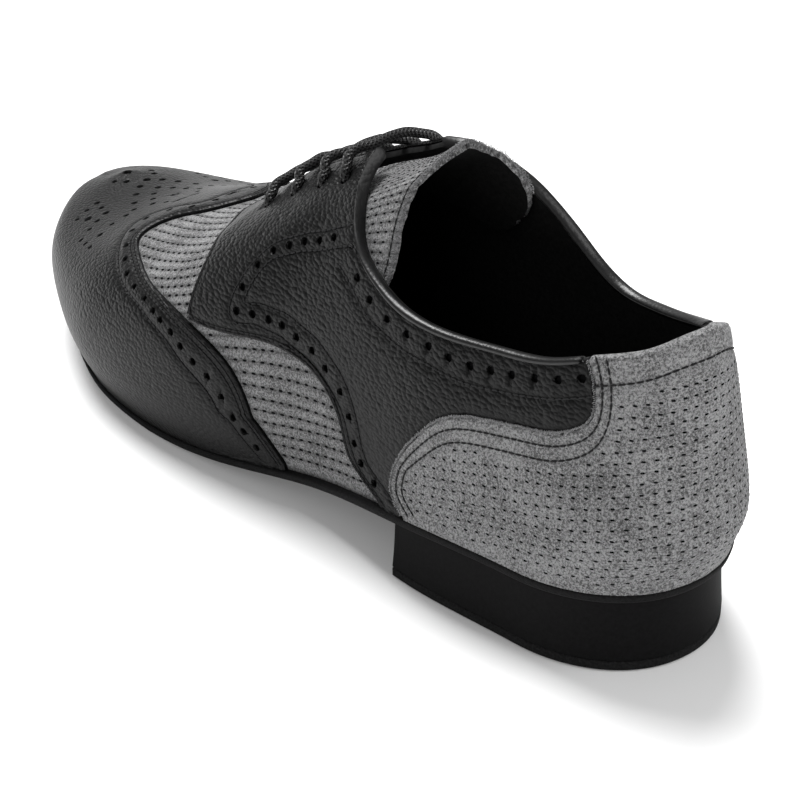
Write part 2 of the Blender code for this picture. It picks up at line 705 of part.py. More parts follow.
strip_plate("insole", ALL_PLACES,
            (lambda p: float(edge_height(p)) + INSOLE_THICK, INSOLE_MARGIN),
            (lambda p: float(edge_height(p)), INSOLE_MARGIN), LINING)
strip_plate("outsole", ALL_PLACES, (sole_top, SOLE_MARGIN),
            (sole_bottom, SOLE_MARGIN * .4), SOLE_SUEDE)
strip_plate("heel", HEEL_PLACES, (lambda p: sole_bottom(p) - GAP, -HEEL_STEP),
            (lambda p: TOP_PIECE_THICK + GAP, -HEEL_TAPER), RUBBER)
strip_plate("top_piece", HEEL_PLACES, (lambda p: TOP_PIECE_THICK, -HEEL_TAPER),
            (lambda p: 0.0, -HEEL_TAPER), SOLE_SUEDE)

for number in range(len(EYELETS["place"])):
    tube("lace_bar_%d" % (number + 1), lace_path(number), LACE_RADIUS, 8, CORD)
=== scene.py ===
"""Looks of a left ballroom dance shoe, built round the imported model.

Every leather piece is laid out on one flat pattern of the foot, triangulated with its seams and
punched holes, and folded onto the last. Stitches, pinholes and loose fibres follow the same
pattern.
"""
import math

import bmesh
import bpy
import numpy as np
from bpy.props import FloatProperty, FloatVectorProperty, PointerProperty
from mathutils import Matrix, Vector
from mathutils.geometry import delaunay_2d_cdt
from mathutils.kdtree import KDTree


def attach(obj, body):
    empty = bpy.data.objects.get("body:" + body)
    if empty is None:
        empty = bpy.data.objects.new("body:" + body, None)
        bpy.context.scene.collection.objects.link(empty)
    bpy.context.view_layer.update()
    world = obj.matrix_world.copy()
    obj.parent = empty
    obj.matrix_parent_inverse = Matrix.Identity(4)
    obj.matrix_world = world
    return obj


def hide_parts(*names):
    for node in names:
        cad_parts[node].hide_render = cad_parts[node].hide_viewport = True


bl_info = {
    "name": "Ballroom dance shoe",
    "version": (1, 0, 0),
    "blender": (4, 5, 0),
    "location": "View3D > Sidebar > Shoe",
    "description": "Dresses the solids of a two-tone wing-tip dance shoe",
    "category": "Object",
}

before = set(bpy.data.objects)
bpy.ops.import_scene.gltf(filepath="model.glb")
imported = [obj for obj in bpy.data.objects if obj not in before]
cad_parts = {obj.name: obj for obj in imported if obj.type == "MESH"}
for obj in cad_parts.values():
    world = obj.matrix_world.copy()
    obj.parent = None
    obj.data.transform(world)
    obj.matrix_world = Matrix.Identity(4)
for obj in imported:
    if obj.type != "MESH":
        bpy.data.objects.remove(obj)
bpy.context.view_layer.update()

# Sizes of the shoe, in metres
LENGTH = 0.288            # back of the heel to tip of the toe, at the widest level
BALL_WIDTH = 0.099        # widest part of the forefoot
INSTEP_HEIGHT = 0.1032    # floor to the top line, at the top of the facings
COLLAR_HEIGHT = 0.0937    # floor to the collar at the back of the heel
HEEL_HEIGHT = 0.0262      # floor to the lower edge of the upper at the back
TOE_SPRING = 0.0071       # rise of the upper's lower edge from ball to toe tip
BULGE_HEIGHT = 0.0152     # lower edge of the upper to its widest level
EDGE_TUCK = 0.0045        # how far the forefoot turns in under itself at the lower edge

# Thicknesses and clearances
WALL = 0.0018             # lined vamp, the one wall that runs round the whole foot
OVERLAY = 0.0012          # wing cap and quarters
COUNTER_STEP = 0.0004     # how far the heel counter stands out over the quarters
TONGUE_THICK = 0.0024
INSOLE_THICK = 0.0025
SOLE_THICK = 0.0036
TOP_PIECE_THICK = 0.003
GAP = 0.0003              # clearance between pieces that touch
SEAM_TRIM = 0.00015       # trimmed off each side where two pieces meet edge to edge

# Smaller sizes
SOLE_MARGIN = 0.0008      # sole edge beyond the upper
HEEL_LENGTH = 0.0790      # back of the heel to its breast
HEEL_STEP = 0.002         # how far the top of the heel is set in from the upper
HEEL_TAPER = 0.0009       # the same at the floor
THROAT_HALF = 0.0097      # half the gap between the facings at their top
BINDING_WIDTH = 0.0022    # bead along the collar
LACE_RADIUS = 0.00125
EYELET_RADIUS = 0.0019
EYELET_INSET = 0.0095     # eyelet centre from the edge of its facing
LACE_ARCH = 0.0036        # how far the first bar stands over the throat

# Sections of the last from heel to toe. place is a share of LENGTH; left and right are half
# widths in BALL_WIDTH; ridge is the top line in INSTEP_HEIGHT; heel_rise and toe_rise lift the
# lower edge by shares of the heel's rise and of TOE_SPRING; tuck is in EDGE_TUCK; full is the
# exponent of the section's upper part, where 2 is an ellipse and more is squarer.
SECTIONS = {
    "place":     (0.00, 0.12, 0.25, 0.40, 0.53, 0.64, 0.74, 0.84, 0.92, 1.00),
    "left":      (.283, .319, .378, .398, .497, .554, .546, .488, .433, .333),
    "right":     (.277, .305, .308, .258, .318, .444, .460, .422, .390, .300),
    "ridge":     (1.28, 1.32, 1.27, 1.00, .785, .622, .532, .434, .378, .360),
    "heel_rise": (1.00, .955, .852, .430, .103, -.004, -.004, .000, .000, .000),
    "toe_rise":  (.000, .000, .000, .000, .000, .000, .040, .270, .580, 1.00),
    "tuck":      (-.24, -.30, -.30, .090, .630, .960, 1.06, 1.04, .980, .870),
    "full":      (1.38, 1.34, 1.56, 2.28, 2.54, 2.43, 2.30, 2.27, 2.30, 2.34),
}

# How the back of the heel and the tip of the toe lean, in LENGTH, by level: -0.4 is the lower
# edge, 0 the widest level and 1 the top line.
LEAN = {
    "level": (-.400, -.200, -.050, .150, .450, .700, 1.000),
    "back":  (.0168, .0054, .0004, .0074, .0195, .0370, .0594),
    "front": (-.0104, -.0033, -.0002, -.0026, -.0135, -.0361, -.0604),
}
HEEL_ROUND = 0.115        # share of LENGTH over which the heel closes in plan
TOE_ROUND = 0.30          # the same for the toe
HEEL_SQUARE = 2.1         # exponent of the plan's curve round the heel, where 2 is an ellipse
TOE_SQUARE = 2.3          # the same round the toe
WIDEST = 0.25             # share of the way up the skin at which the section is widest
EDGE_LEVEL = -0.4         # level of the lower edge in LEAN


def curve(xs, ys):
    """Natural cubic spline through the points of a table's two columns."""
    xs = np.asarray(xs, float)
    ys = np.asarray(ys, float)
    count = len(xs)
    step = np.diff(xs)
    rows = np.eye(count)
    right = np.zeros(count)
    for i in range(1, count - 1):
        rows[i, i - 1:i + 2] = step[i - 1], 2 * (step[i - 1] + step[i]), step[i]
        right[i] = 6 * ((ys[i + 1] - ys[i]) / step[i] - (ys[i] - ys[i - 1]) / step[i - 1])
    bend = np.linalg.solve(rows, right)

    def value(x):
        x = np.clip(np.asarray(x, float), xs[0], xs[-1])
        i = np.clip(np.searchsorted(xs, x) - 1, 0, count - 2)
        a = (xs[i + 1] - x) / step[i]
        b = (x - xs[i]) / step[i]
        cubic = (a ** 3 - a) * bend[i] + (b ** 3 - b) * bend[i + 1]
        return a * ys[i] + b * ys[i + 1] + cubic * step[i] ** 2 / 6
    return value


SECTION = {name: curve(SECTIONS["place"], column) for name, column in SECTIONS.items()}
LEAN_BACK = curve(LEAN["level"], LEAN["back"])
LEAN_FRONT = curve(LEAN["level"], LEAN["front"])
BALL_EDGE = SOLE_THICK + GAP


def edge_height(place):
    """Height of the upper's lower edge."""
    rise = (HEEL_HEIGHT - BALL_EDGE) * SECTION["heel_rise"](place)
    return BALL_EDGE + rise + TOE_SPRING * SECTION["toe_rise"](place)


def closing(place):
    """Share of the full width left where the plan closes at heel and toe."""
    heel = np.clip((HEEL_ROUND - place) / HEEL_ROUND, 0, 1)
    toe = np.clip((place - 1 + TOE_ROUND) / TOE_ROUND, 0, 1)
    return ((1 - heel ** HEEL_SQUARE) ** (1 / HEEL_SQUARE)
            * (1 - toe ** TOE_SQUARE) ** (1 / TOE_SQUARE))


def half_width(place, side):
    left = SECTION["left"](place)
    right = SECTION["right"](place)
    return BALL_WIDTH * np.where(np.asarray(side) > 0, left, right)


STATIONS = np.linspace(0, 1, 201)
MIDDLE = float((half_width(STATIONS, 1) * closing(STATIONS)).max()
               - (half_width(STATIONS, -1) * closing(STATIONS)).max()) / 2


def last_point(place, climb, side):
    """Point on the outermost face: climb runs from the lower edge (0) to the top line (1)."""
    place, climb, side = np.broadcast_arrays(*(np.asarray(a, float) for a in (place, climb, side)))
    width = half_width(place, side)
    low = edge_height(place)
    bulge = low + BULGE_HEIGHT
    height = INSTEP_HEIGHT * SECTION["ridge"](place) - bulge
    full = SECTION["full"](place)
    below = np.clip(climb / WIDEST, 0, 1)
    turn = np.clip((climb - WIDEST) / (1 - WIDEST), 0, 1) * np.pi / 2
    reach = np.cos(turn).clip(1e-9) ** (2 / full)
    rise = np.sin(turn) ** (2 / full)
    under = climb < WIDEST
    tuck = EDGE_TUCK * SECTION["tuck"](place) * (1 - below) ** 2
    x = np.where(under, width - tuck, width * reach) * closing(place)
    z = np.where(under, low + BULGE_HEIGHT * below, bulge + height * rise)
    level = np.where(under, EDGE_LEVEL * (1 - below), rise)
    back = LENGTH * LEAN_BACK(level)
    front = LENGTH * (1 + LEAN_FRONT(level))
    y = LENGTH / 2 - back - (front - back) * place
    return np.stack([side * x - MIDDLE, y, z], -1)


def climb_at_height(place, z):
    """How far up the skin a height lies."""
    bulge = edge_height(place) + BULGE_HEIGHT
    height = INSTEP_HEIGHT * SECTION["ridge"](place) - bulge
    share = np.clip((z - bulge) / height, 0, 1)
    return WIDEST + (1 - WIDEST) * np.arcsin(share ** (SECTION["full"](place) / 2)) / (np.pi / 2)


def climb_at_width(place, x, side):
    """How far up the skin the section has narrowed to a distance x from the middle."""
    share = np.clip(x / (half_width(place, side) * closing(place)), 0, 1)
    return WIDEST + (1 - WIDEST) * np.arccos(share ** (SECTION["full"](place) / 2)) / (np.pi / 2)


# Seams of the pattern. Each row is a place along the foot and a climb up the skin, and each
# seam runs smoothly through its rows. Left and right share them, but for collar and tongue.
WING_SEAM = {
    "place": (.430, .453, .484, .536, .600, .654, .716, .758, .752, .722, .700),
    "climb": (.000, .150, .300, .400, .500, .575, .660, .750, .830, .900, 1.00),
}
QUARTER_LOWER = {
    "place": (.283, .326, .345, .353, .371, .408, .463, .524, .550),
    "climb": (.000, .110, .200, .280, .324, .361, .388, .411, .432),
}
QUARTER_FRONT = {
    "place": (.556, .559, .565, .577, .602, .629, .650),
    "climb": (.450, .500, .600, .690, .800, .890, .960),
}
COUNTER_SEAM = {
    "place": (.246, .267, .273, .266, .244, .216, .168, .116, .080, .064, .067, .086),
    "climb": (.000, .080, .160, .260, .330, .385, .421, .441, .462, .495, .530, .580),
}
# Height of the collar on each side, in COLLAR_HEIGHT, up to the corner of the facing.
COLLAR = {
    "place_left":  (.000, .002, .008, .030, .070, .120, .170, .230, .280, .320, .349, .371, .386),
    "left":        (1.00, .998, .989, .954, .915, .862, .838, .821, .831, .869, .918, .994, 1.045),
    "place_right": (.000, .002, .008, .030, .070, .110, .160, .200, .230, .260, .304, .340, .370),
    "right":       (1.00, .998, .985, .938, .870, .828, .798, .796, .840, .925, 1.030, 1.072, 1.088),
}
# Edge of the facing from its top corner to the bottom of the throat: distance from the middle
# in THROAT_HALF.
FACING = {
    "place": (.395, .450, .500, .560, .610, .645, .655, .659),
    "half":  (1.00, .950, .870, .720, .530, .340, .200, .000),
}
# Edge of the tongue, from its front end under the vamp round the left side and over its free
# top end, then down the right side.
TONGUE_SIDE = {
    "place": (.700, .690, .600, .500, .400, .350, .324, .317, .319, .320, .326, .334),
    "climb": (1.00, .860, .760, .700, .600, .512, .506, .535, .640, .750, .870, 1.00),
}
TONGUE_SIDE_RIGHT = {
    "place": (.700, .690, .600, .500, .400, .345, .312, .292, .292, .304, .319, .326, .334),
    "climb": (1.00, .860, .760, .700, .600, .530, .560, .610, .655, .695, .770, .880, 1.00),
}
TONGUE_SAG = 0.005        # how far the free end of the tongue lies under the top line
SAG_PLACE = 0.47          # place and climb from which it dips, and over how much of each
SAG_CLIMB = 0.72
SAG_LENGTH = 0.12
SAG_WIDTH = 0.22
# Eyelets from the bottom of the throat up: place, distance in from the facing's edge in
# EYELET_INSET, and height of the bar's arch in LACE_ARCH.
EYELETS = {
    "place": (.541, .501, .457, .419),
    "inset": (1.45, 1.12, 0.95, 0.88),
    "arch":  (0.60, 0.58, 0.48, 0.15),
}

FLAT_HEIGHT = 0.105       # height of the flat pattern, from lower edge to top line
ARC_CLIMB = 0.35          # climb at which the pattern's length is measured
SEAM_STEP = 0.0014        # spacing of the points along a seam
EDGE_DROP = 0.0012        # how far the leather runs down over the edge of the sole

# Depths below the outermost face
UPPER_FACE = -(OVERLAY + GAP)
UPPER_LINING = UPPER_FACE - WALL
TONGUE_FACE = UPPER_LINING - GAP


def spread(count):
    """Stations from heel to toe, closer together at both ends."""
    return (1 - np.cos(np.pi * np.linspace(0, 1, count))) / 2


def unit(vectors):
    """Vectors brought to length one."""
    return vectors / np.linalg.norm(vectors, axis=-1, keepdims=True).clip(1e-15)


def running(points):
    """Length of a line up to each of its points."""
    return np.concatenate([[0], np.cumsum(np.linalg.norm(np.diff(points, axis=0), axis=1))])


FINE = spread(801)
FINE_ARC = running(last_point(FINE, ARC_CLIMB, 1))


def flat(place, climb, side):
    """Place on the flat pattern, where the two halves meet along the top line."""
    x = np.interp(place, FINE, FINE_ARC)
    y = np.asarray(side, float) * (1 - np.asarray(climb, float)) * FLAT_HEIGHT
    return np.stack(np.broadcast_arrays(x, y), -1)


def folded(points):
    """Place, climb and side of points on the flat pattern."""
    points = np.asarray(points, float)
    side = np.where(points[:, 1] < 0, -1.0, 1.0)
    climb = 1 - np.abs(points[:, 1]) / FLAT_HEIGHT
    return np.interp(points[:, 0], FINE_ARC, FINE), np.clip(climb, 0, 1), side


def smooth_line(points, step):
    """Evenly spaced points along a smooth curve through the given ones."""
    points = np.asarray(points, float)
    along = running(points)
    fine = np.linspace(0, along[-1], 400)
    dense = np.stack([curve(along, points[:, 0])(fine), curve(along, points[:, 1])(fine)], -1)
    dense[0], dense[-1] = points[0], points[-1]
    run = running(dense)
    count = max(2, int(math.ceil(run[-1] / step)) + 1)
    at = np.linspace(0, run[-1], count)
    return np.stack([np.interp(at, run, dense[:, 0]), np.interp(at, run, dense[:, 1])], -1)


def seam(table, side):
    return smooth_line(flat(np.array(table["place"]), np.array(table["climb"]), side), SEAM_STEP)


def facing_corner(side):
    place = FACING["place"][0]
    return flat(place, climb_at_width(place, THROAT_HALF, side), side)


def collar_line(side):
    name = "left" if side > 0 else "right"
    place = np.array(COLLAR["place_" + name])
    climb = climb_at_height(place, COLLAR_HEIGHT * np.array(COLLAR[name]))
    line = np.concatenate([flat(place, climb, side), [facing_corner(side)]])
    return smooth_line(line, SEAM_STEP)


def facing_line(side):
    place = np.array(FACING["place"])
    climb = climb_at_width(place, THROAT_HALF * np.array(FACING["half"]), side)
    return smooth_line(flat(place, climb, side), SEAM_STEP * .8)


def rim_line(side):
    """Line under the collar bead, run on past both ends so that it crosses their seams."""
    top = collar_line(side)
    way = unit(np.gradient(top, axis=0))
    down = side * np.stack([-way[:, 1], way[:, 0]], -1)
    rim = top + down * (BINDING_WIDTH + GAP)
    start = flat(min(COUNTER_SEAM["place"]) * .7, 0, side)[0]
    rim = rim[rim[:, 0] > start]
    return np.concatenate([rim, [rim[-1] + way[-1] * SEAM_STEP]])


def inside(points, loop):
    """Which points lie inside a closed loop."""
    x, y = points[:, 0], points[:, 1]
    hit = np.zeros(len(points), bool)
    for (ax, ay), (bx, by) in zip(loop, np.roll(loop, -1, axis=0)):
        crosses = (ay > y) != (by > y)
        with np.errstate(divide="ignore", invalid="ignore"):
            hit ^= crosses & (x < (bx - ax) * (y - ay) / (by - ay) + ax)
    return hit


def distance(points, line):
    """Distance of points from a polyline."""
    best = np.full(len(points), 1e9)
    for a, b in zip(line[:-1], line[1:]):
        run = b - a
        share = np.clip(((points - a) @ run) / (run @ run), 0, 1)
        best = np.minimum(best, np.linalg.norm(points - a - share[:, None] * run, axis=1))
    return best


LEFT, RIGHT = 1, -1
SIDES = {"left": LEFT, "right": RIGHT}

# Detail of the leather and the sewing, in metres
FINE_GRID = 0.0019        # spacing of the points between seams
GRID_CLEAR = 0.45         # how far those keep off the seams, in their spacing
GRID_THIN = 0.35          # and off the points beside the seams
BESIDE_SEAM = 0.45        # points beside a seam, in SEAM_STEP
BESIDE_STITCH = 0.0006    # points beside a line of stitches
STITCH_STEP = 0.0011      # and their spacing along it
POINT_CLEAR = 0.00028     # how far points beside a line keep off other lines
ROUND_HOLE = 1.45         # points round a punched hole, in its radius
LAID_SHARE = 0.996        # share of the pattern's height on which points are laid
LINE_STEP = 0.0008        # spacing of the points along stitches and rolled edges
BROGUE_RADIUS = 0.00088   # punched holes of the rows
MEDALLION_RADIUS = 0.00078
ROW_MIDDLE = 0.742        # place of the wing row's hole on the middle of the toe
HOLE_PITCH = 0.0033       # between the pinholes of a row
FIBRE_PITCH = 0.00030     # between the loose fibres of a raw suede edge
FIBRE_LEVELS = (-0.0008, -0.0004, 0)  # rows of fibres, against the leather's face
FIBRE_LIFT = 0.0002       # how far fibres stray from their row
FIBRE_SPREAD = 0.00022    # how far they stray across the edge
FIBRE_WIDTH = 0.22        # their thickness against their length
FIBRE_LEAN = 0.6          # how far they lean out of the face
FIBRE_TURN = 0.8          # how far they turn along the edge
PIT_DEPTH = 0.00010       # half height of a pinhole's near-black bead of painted shade
GROOVE_WIDTH = 0.00055    # width of the hollow that a line of stitches pulls in
GROOVE_REACH = 0.003      # from the line, as far as its hollow is worked out
SURE_WAY = 0.3            # an edge point moves inward only where its faces agree on the way
FRAY_LEATHER = 0.00006    # raggedness of a cut edge
FRAY_SUEDE = 0.00025
STAND_REACH = 0.0105      # how far in from its edge a facing stands up
FOLD_BOW = 2.5            # how strongly the soft folds curve
SHARP_ANGLE = 48          # degrees between faces that meet in an edge
STITCH_SINK = 0.55        # how far a stitch rises, in thread radii

# Rows of pinholes: from one row to the next, how far they keep off a seam, and their size in the
# panel's pinhole
PINHOLES = {
    "vamp":    {"pitch": .00360, "clear": .0011, "size": 1.40},
    "counter": {"pitch": .00285, "clear": .0056, "size": 1.05},
    "tongue":  {"pitch": .00205, "clear": .0026, "size": 1.05},
}
COUNTER_RISE = 0.30       # slope of the counter's rows towards the back of the heel
COUNTER_BEND = 0.024      # length over which that slope sets in
COUNTER_LENGTH = 0.12     # along the pattern, as far as its rows are tried
COUNTER_ROWS = 40         # how many rows are tried
COUNTER_FOOT = 0.002      # from the upper's lower edge to the first row
COUNTER_TOP = 0.97        # climb of the last
VAMP_SHARE = 0.985        # share of the pattern's height that the vamp's pinholes take

# Distances of the stitches from the edge or the punched row that they follow
WING_STITCHES = (0.0013, 0.0027)
WING_ROW_STITCH = 0.0030
ROW_STITCHES = (0.0026, -0.0026)
QUARTER_STITCH = 0.0013
FACING_STITCH = 0.0017
COUNTER_STITCHES = (0.0021, 0.0044)
TOP_STITCH = 0.0038
TONGUE_STITCH = 0.0013

# How far the stitches run on past a row: its first hole, and the last one of each row
FIRST_RUN = 0.008
QUARTER_RUN = 0.012
COLLAR_RUN = 0.008
WING_RUN = 0.016

# Rolled edges of the collar: half height, half width and depth of their middle
ROLLED = {
    "counter_edge":   (.00165, .00120, -.00140),
    "collar_binding": (.00188, .00118, -.00150),
}
ROLL_TIP = 0.06           # size of their closed ends
ROLL_WAVES = ((.020, .0061), (.015, .0027))  # their unevenness: height, and length per radian

# Punched rows, hole by hole, as places along the foot and climbs up the skin
WING_ROW = {
    "place": (.738, .750, .780, .794, .777, .745, .718, .690, .660, .631, .607, .591, .571, .555,
              .537, .519, .503, .491, .479, .465),
    "climb": (.950, .895, .858, .792, .720, .657, .611, .566, .528, .494, .456, .430, .397, .363,
              .330, .303, .270, .236, .171, .088),
}
QUARTER_ROW = {
    "place": (.389, .409, .429, .447, .465, .479, .489, .489, .469, .449, .431, .411, .389, .369,
              .347, .335, .329, .319, .295),
    "climb": (.618, .618, .622, .618, .610, .575, .517, .456, .448, .436, .425, .405, .386, .362,
              .333, .297, .252, .168, .090),
}
COLLAR_ROW = {
    "place": (.341, .319, .293, .267, .240, .216, .192, .170, .148, .124, .100, .078),
    "climb": (.535, .503, .485, .477, .477, .477, .481, .489, .497, .507, .519, .532),
}
# Medallion on the toe: half the distance between two mirrored holes, and forward from the back of
# the heel, in LENGTH. Its middle line leans to the right, as the toe does.
MEDALLION = {
    "half":    (.000, .000, .000, .000, .0125, .0215, .0304, .0202, .0108, .0148, .0278, .0404,
                .0502, .0633, .0824, .0183, .0243, .0245, .0489, .0526, .0580, .0676, .0692,
                .0721, .0819, .0898, .0866, .0966, .1000, .1007, .1152, .1166, .1181),
    "forward": (.9368, .8987, .8660, .8160, .8496, .8310, .8110, .7940, .7780, .8866, .8687, .8443,
                .8217, .8140, .8130, .9123, .9256, .9461, .9550, .9440, .9290, .8970, .8780,
                .8570, .8950, .8714, .8495, .8890, .8406, .8045, .8300, .8120, .7930),
    "size":    (1.5, 1.2, 1.1, 1.6, 1.0, 1.0, 1.0, 0.9, 0.8, 1.1, 1.1, 1.1,
                1.0, 1.0, 0.9, 1.0, 1.0, 0.9, 0.8, 0.9, 1.1, 1.0, 0.9,
                1.2, 0.9, 1.3, 1.0, 0.9, 0.9, 1.1, 0.9, 0.9, 0.9),
}
MEDALLION_LINE = {
    "forward": (.770, .900, .970),
    "across":  (.0195, -.0045, .0025),
}
# Soft folds pressed in: place, climb, side, half length along the fold, half width, the fold's
# direction in degrees from the line of the foot, and depth in mm
FOLDS = (
    (.600, .80, LEFT, .024, .0050, 84, -.45),
    (.560, .86, LEFT, .020, .0050, 80, .35),
    (.590, .78, RIGHT, .024, .0055, 96, -.45),
    (.470, .60, LEFT, .020, .0070, 65, .45),
    (.430, .50, LEFT, .026, .0080, 60, -.40),
    (.330, .40, LEFT, .022, .0080, 35, .40),
    (.300, .43, LEFT, .020, .0060, 25, -.35),
    (.430, .52, RIGHT, .026, .0080, 118, -.40),
    (.320, .42, RIGHT, .022, .0080, 150, .35),
    (.820, .50, LEFT, .030, .0120, 40, .30),
    (.830, .50, RIGHT, .030, .0120, 140, .30),
    (.120, .50, LEFT, .020, .0090, 20, .30),
    (.110, .35, RIGHT, .020, .0090, 160, .30),
    (.975, .50, RIGHT, .022, .0200, 0, 1.10),
    (.835, .72, RIGHT, .026, .0200, 0, -1.90),
    (.705, 1.0, LEFT, .016, .0200, 0, -.90),
)
# How far the loose facings stand up off the tongue, in mm, by place along the foot
STAND = {
    "place": (.380, .410, .450, .490, .530, .570, .630),
    "left":  (1.20, 1.60, 2.60, 3.00, 2.60, 1.30, .000),
    "right": (.500, 1.20, 2.60, 3.10, 2.60, 1.20, .000),
}


def ring(place, climb, side, radius, sides=10):
    """Round hole in the leather, as a ring on the flat pattern."""
    centre = flat(place, climb, side)
    small = 1e-5
    at = last_point(*[v[0] for v in folded(centre[None])])
    along = (last_point(*[v[0] for v in folded(centre[None] + [[small, 0]])]) - at) / small
    across = (last_point(*[v[0] for v in folded(centre[None] + [[0, small]])]) - at) / small
    first = unit(along)
    second = unit(across - first * (across @ first))
    points = []
    for k in range(sides):
        angle = 2 * np.pi * k / sides
        reach = radius * (np.cos(angle) * first + np.sin(angle) * second)
        points.append(centre + np.linalg.lstsq(np.stack([along, across], 1), reach,
                                               rcond=None)[0])
    return np.array(points)


def on_toe(across, forward):
    """Place and climb of a point over the toe, from its place in plan."""
    place = forward
    y = LENGTH / 2 - LENGTH * forward
    climb = 1.0
    for _ in range(12):
        climb = float(climb_at_width(place, abs(across) * LENGTH, math.copysign(1, across)))
        turn = (climb - WIDEST) / (1 - WIDEST) * math.pi / 2
        rise = math.sin(turn) ** (2 / float(SECTION["full"](place)))
        back = LENGTH * float(LEAN_BACK(rise))
        front = LENGTH * (1 + float(LEAN_FRONT(rise)))
        place = min(max((LENGTH / 2 - y - back) / (front - back), 0), 1)
    return place, climb


def shifted(line, reach):
    """Line moved sideways on the flat pattern."""
    way = unit(np.gradient(line, axis=0))
    return line + np.stack([-way[:, 1], way[:, 0]], -1) * reach


def clipped(line):
    """The part of a line that lies on the pattern, a little above its edge."""
    limit = FLAT_HEIGHT * LAID_SHARE
    good = (np.abs(line[:, 1]) <= limit) & (line[:, 0] >= 0) & (line[:, 0] <= FINE_ARC[-1])
    return line[good]


def eyelet_climb(number, side):
    place = EYELETS["place"][number]
    half = THROAT_HALF * np.interp(place, FACING["place"], FACING["half"])
    return float(climb_at_width(place, half + EYELETS["inset"][number] * EYELET_INSET, side))


def wing_rings():
    """Holes of the wing cap: its row on both sides and over the middle, and the medallion."""
    rings = [ring(p, c, s, BROGUE_RADIUS) for s in SIDES.values()
             for p, c in zip(WING_ROW["place"], WING_ROW["climb"])]
    rings.append(ring(ROW_MIDDLE, 1, LEFT, BROGUE_RADIUS))
    for half, forward, size in zip(*MEDALLION.values()):
        for side in ((LEFT, RIGHT) if half else (LEFT,)):
            across = float(np.interp(forward, *MEDALLION_LINE.values())) + side * half
            rings.append(ring(*on_toe(across, forward), math.copysign(1, across),
                              MEDALLION_RADIUS * size))
    return rings


TOP = {side: collar_line(side) for side in SIDES.values()}
EDGE = {side: facing_line(side) for side in SIDES.values()}
RIM = {side: rim_line(side) for side in SIDES.values()}
WING = np.concatenate([seam(WING_SEAM, LEFT), seam(WING_SEAM, RIGHT)[-2::-1]])
LOWER = {side: seam(QUARTER_LOWER, side) for side in SIDES.values()}
FRONT = {side: seam(QUARTER_FRONT, side) for side in SIDES.values()}
COUNTER = {side: seam(COUNTER_SEAM, side) for side in SIDES.values()}
TONGUE = np.concatenate([seam(TONGUE_SIDE, LEFT), seam(TONGUE_SIDE_RIGHT, RIGHT)[-2:0:-1]])
HOLES = {(n, s): eyelet_climb(n, s) for n in range(len(EYELETS["place"])) for s in (LEFT, RIGHT)}
EYELET_RINGS = [ring(EYELETS["place"][n], climb, s, EYELET_RADIUS, 14)
                for (n, s), climb in HOLES.items()]
WING_RINGS = wing_rings()
QUARTER_RINGS = [ring(p, c, s, BROGUE_RADIUS) for s in SIDES.values()
                 for row in (QUARTER_ROW, COLLAR_ROW) for p, c in zip(row["place"], row["climb"])]


# Outlines of the pieces on the flat pattern
OPENING_LOOP = np.concatenate([TOP[LEFT], EDGE[LEFT][1:], EDGE[RIGHT][-2::-1], TOP[RIGHT][-2::-1]])
BEHIND = np.concatenate([[flat(0, 0, LEFT)], COUNTER[LEFT], COUNTER[RIGHT][::-1],
                         [flat(0, 0, RIGHT)]])
TOE_LOOP = np.concatenate([[flat(1, 0, LEFT)], WING, [flat(1, 0, RIGHT)]])


def quarter_loop(side):
    front = np.concatenate([LOWER[side], FRONT[side]])
    ridge = [flat(FACING["place"][-2], 1, side), flat(COUNTER_SEAM["place"][-1], 1, side)]
    return np.concatenate([front, ridge, COUNTER[side][::-1]])


def strip_loop(side):
    return np.concatenate([TOP[side], RIM[side][::-1]])


def row_line(table, side, reach, run_on):
    """Line beside a punched row, run on past both of its ends."""
    line = shifted(seam(table, side), reach * side)
    line = np.concatenate([[line[0] + unit(line[0] - line[2]) * FIRST_RUN], line,
                           [line[-1] + unit(line[-1] - line[-3]) * run_on]])
    return smooth_line(line, SEAM_STEP)


def wing_row_line(reach):
    """Line beside the punched row of the wing cap, from edge to edge over the toe."""
    halves = []
    for side in (LEFT, RIGHT):
        table = flat(np.array(WING_ROW["place"]), np.array(WING_ROW["climb"]), side)
        end = table[-1] + unit(table[-1] - table[-2]) * WING_RUN
        halves.append(np.concatenate([table, [end]]))
    line = np.concatenate([halves[0][::-1], [flat(ROW_MIDDLE, 1, LEFT)], halves[1]])
    return shifted(smooth_line(line, SEAM_STEP), reach)


def runs(line, good):
    """Stretches of a line whose points are all good."""
    parts = np.split(np.arange(len(line)), np.flatnonzero(np.diff(good.astype(int))) + 1)
    return [line[part] for part in parts if good[part[0]] and len(part) > 3]


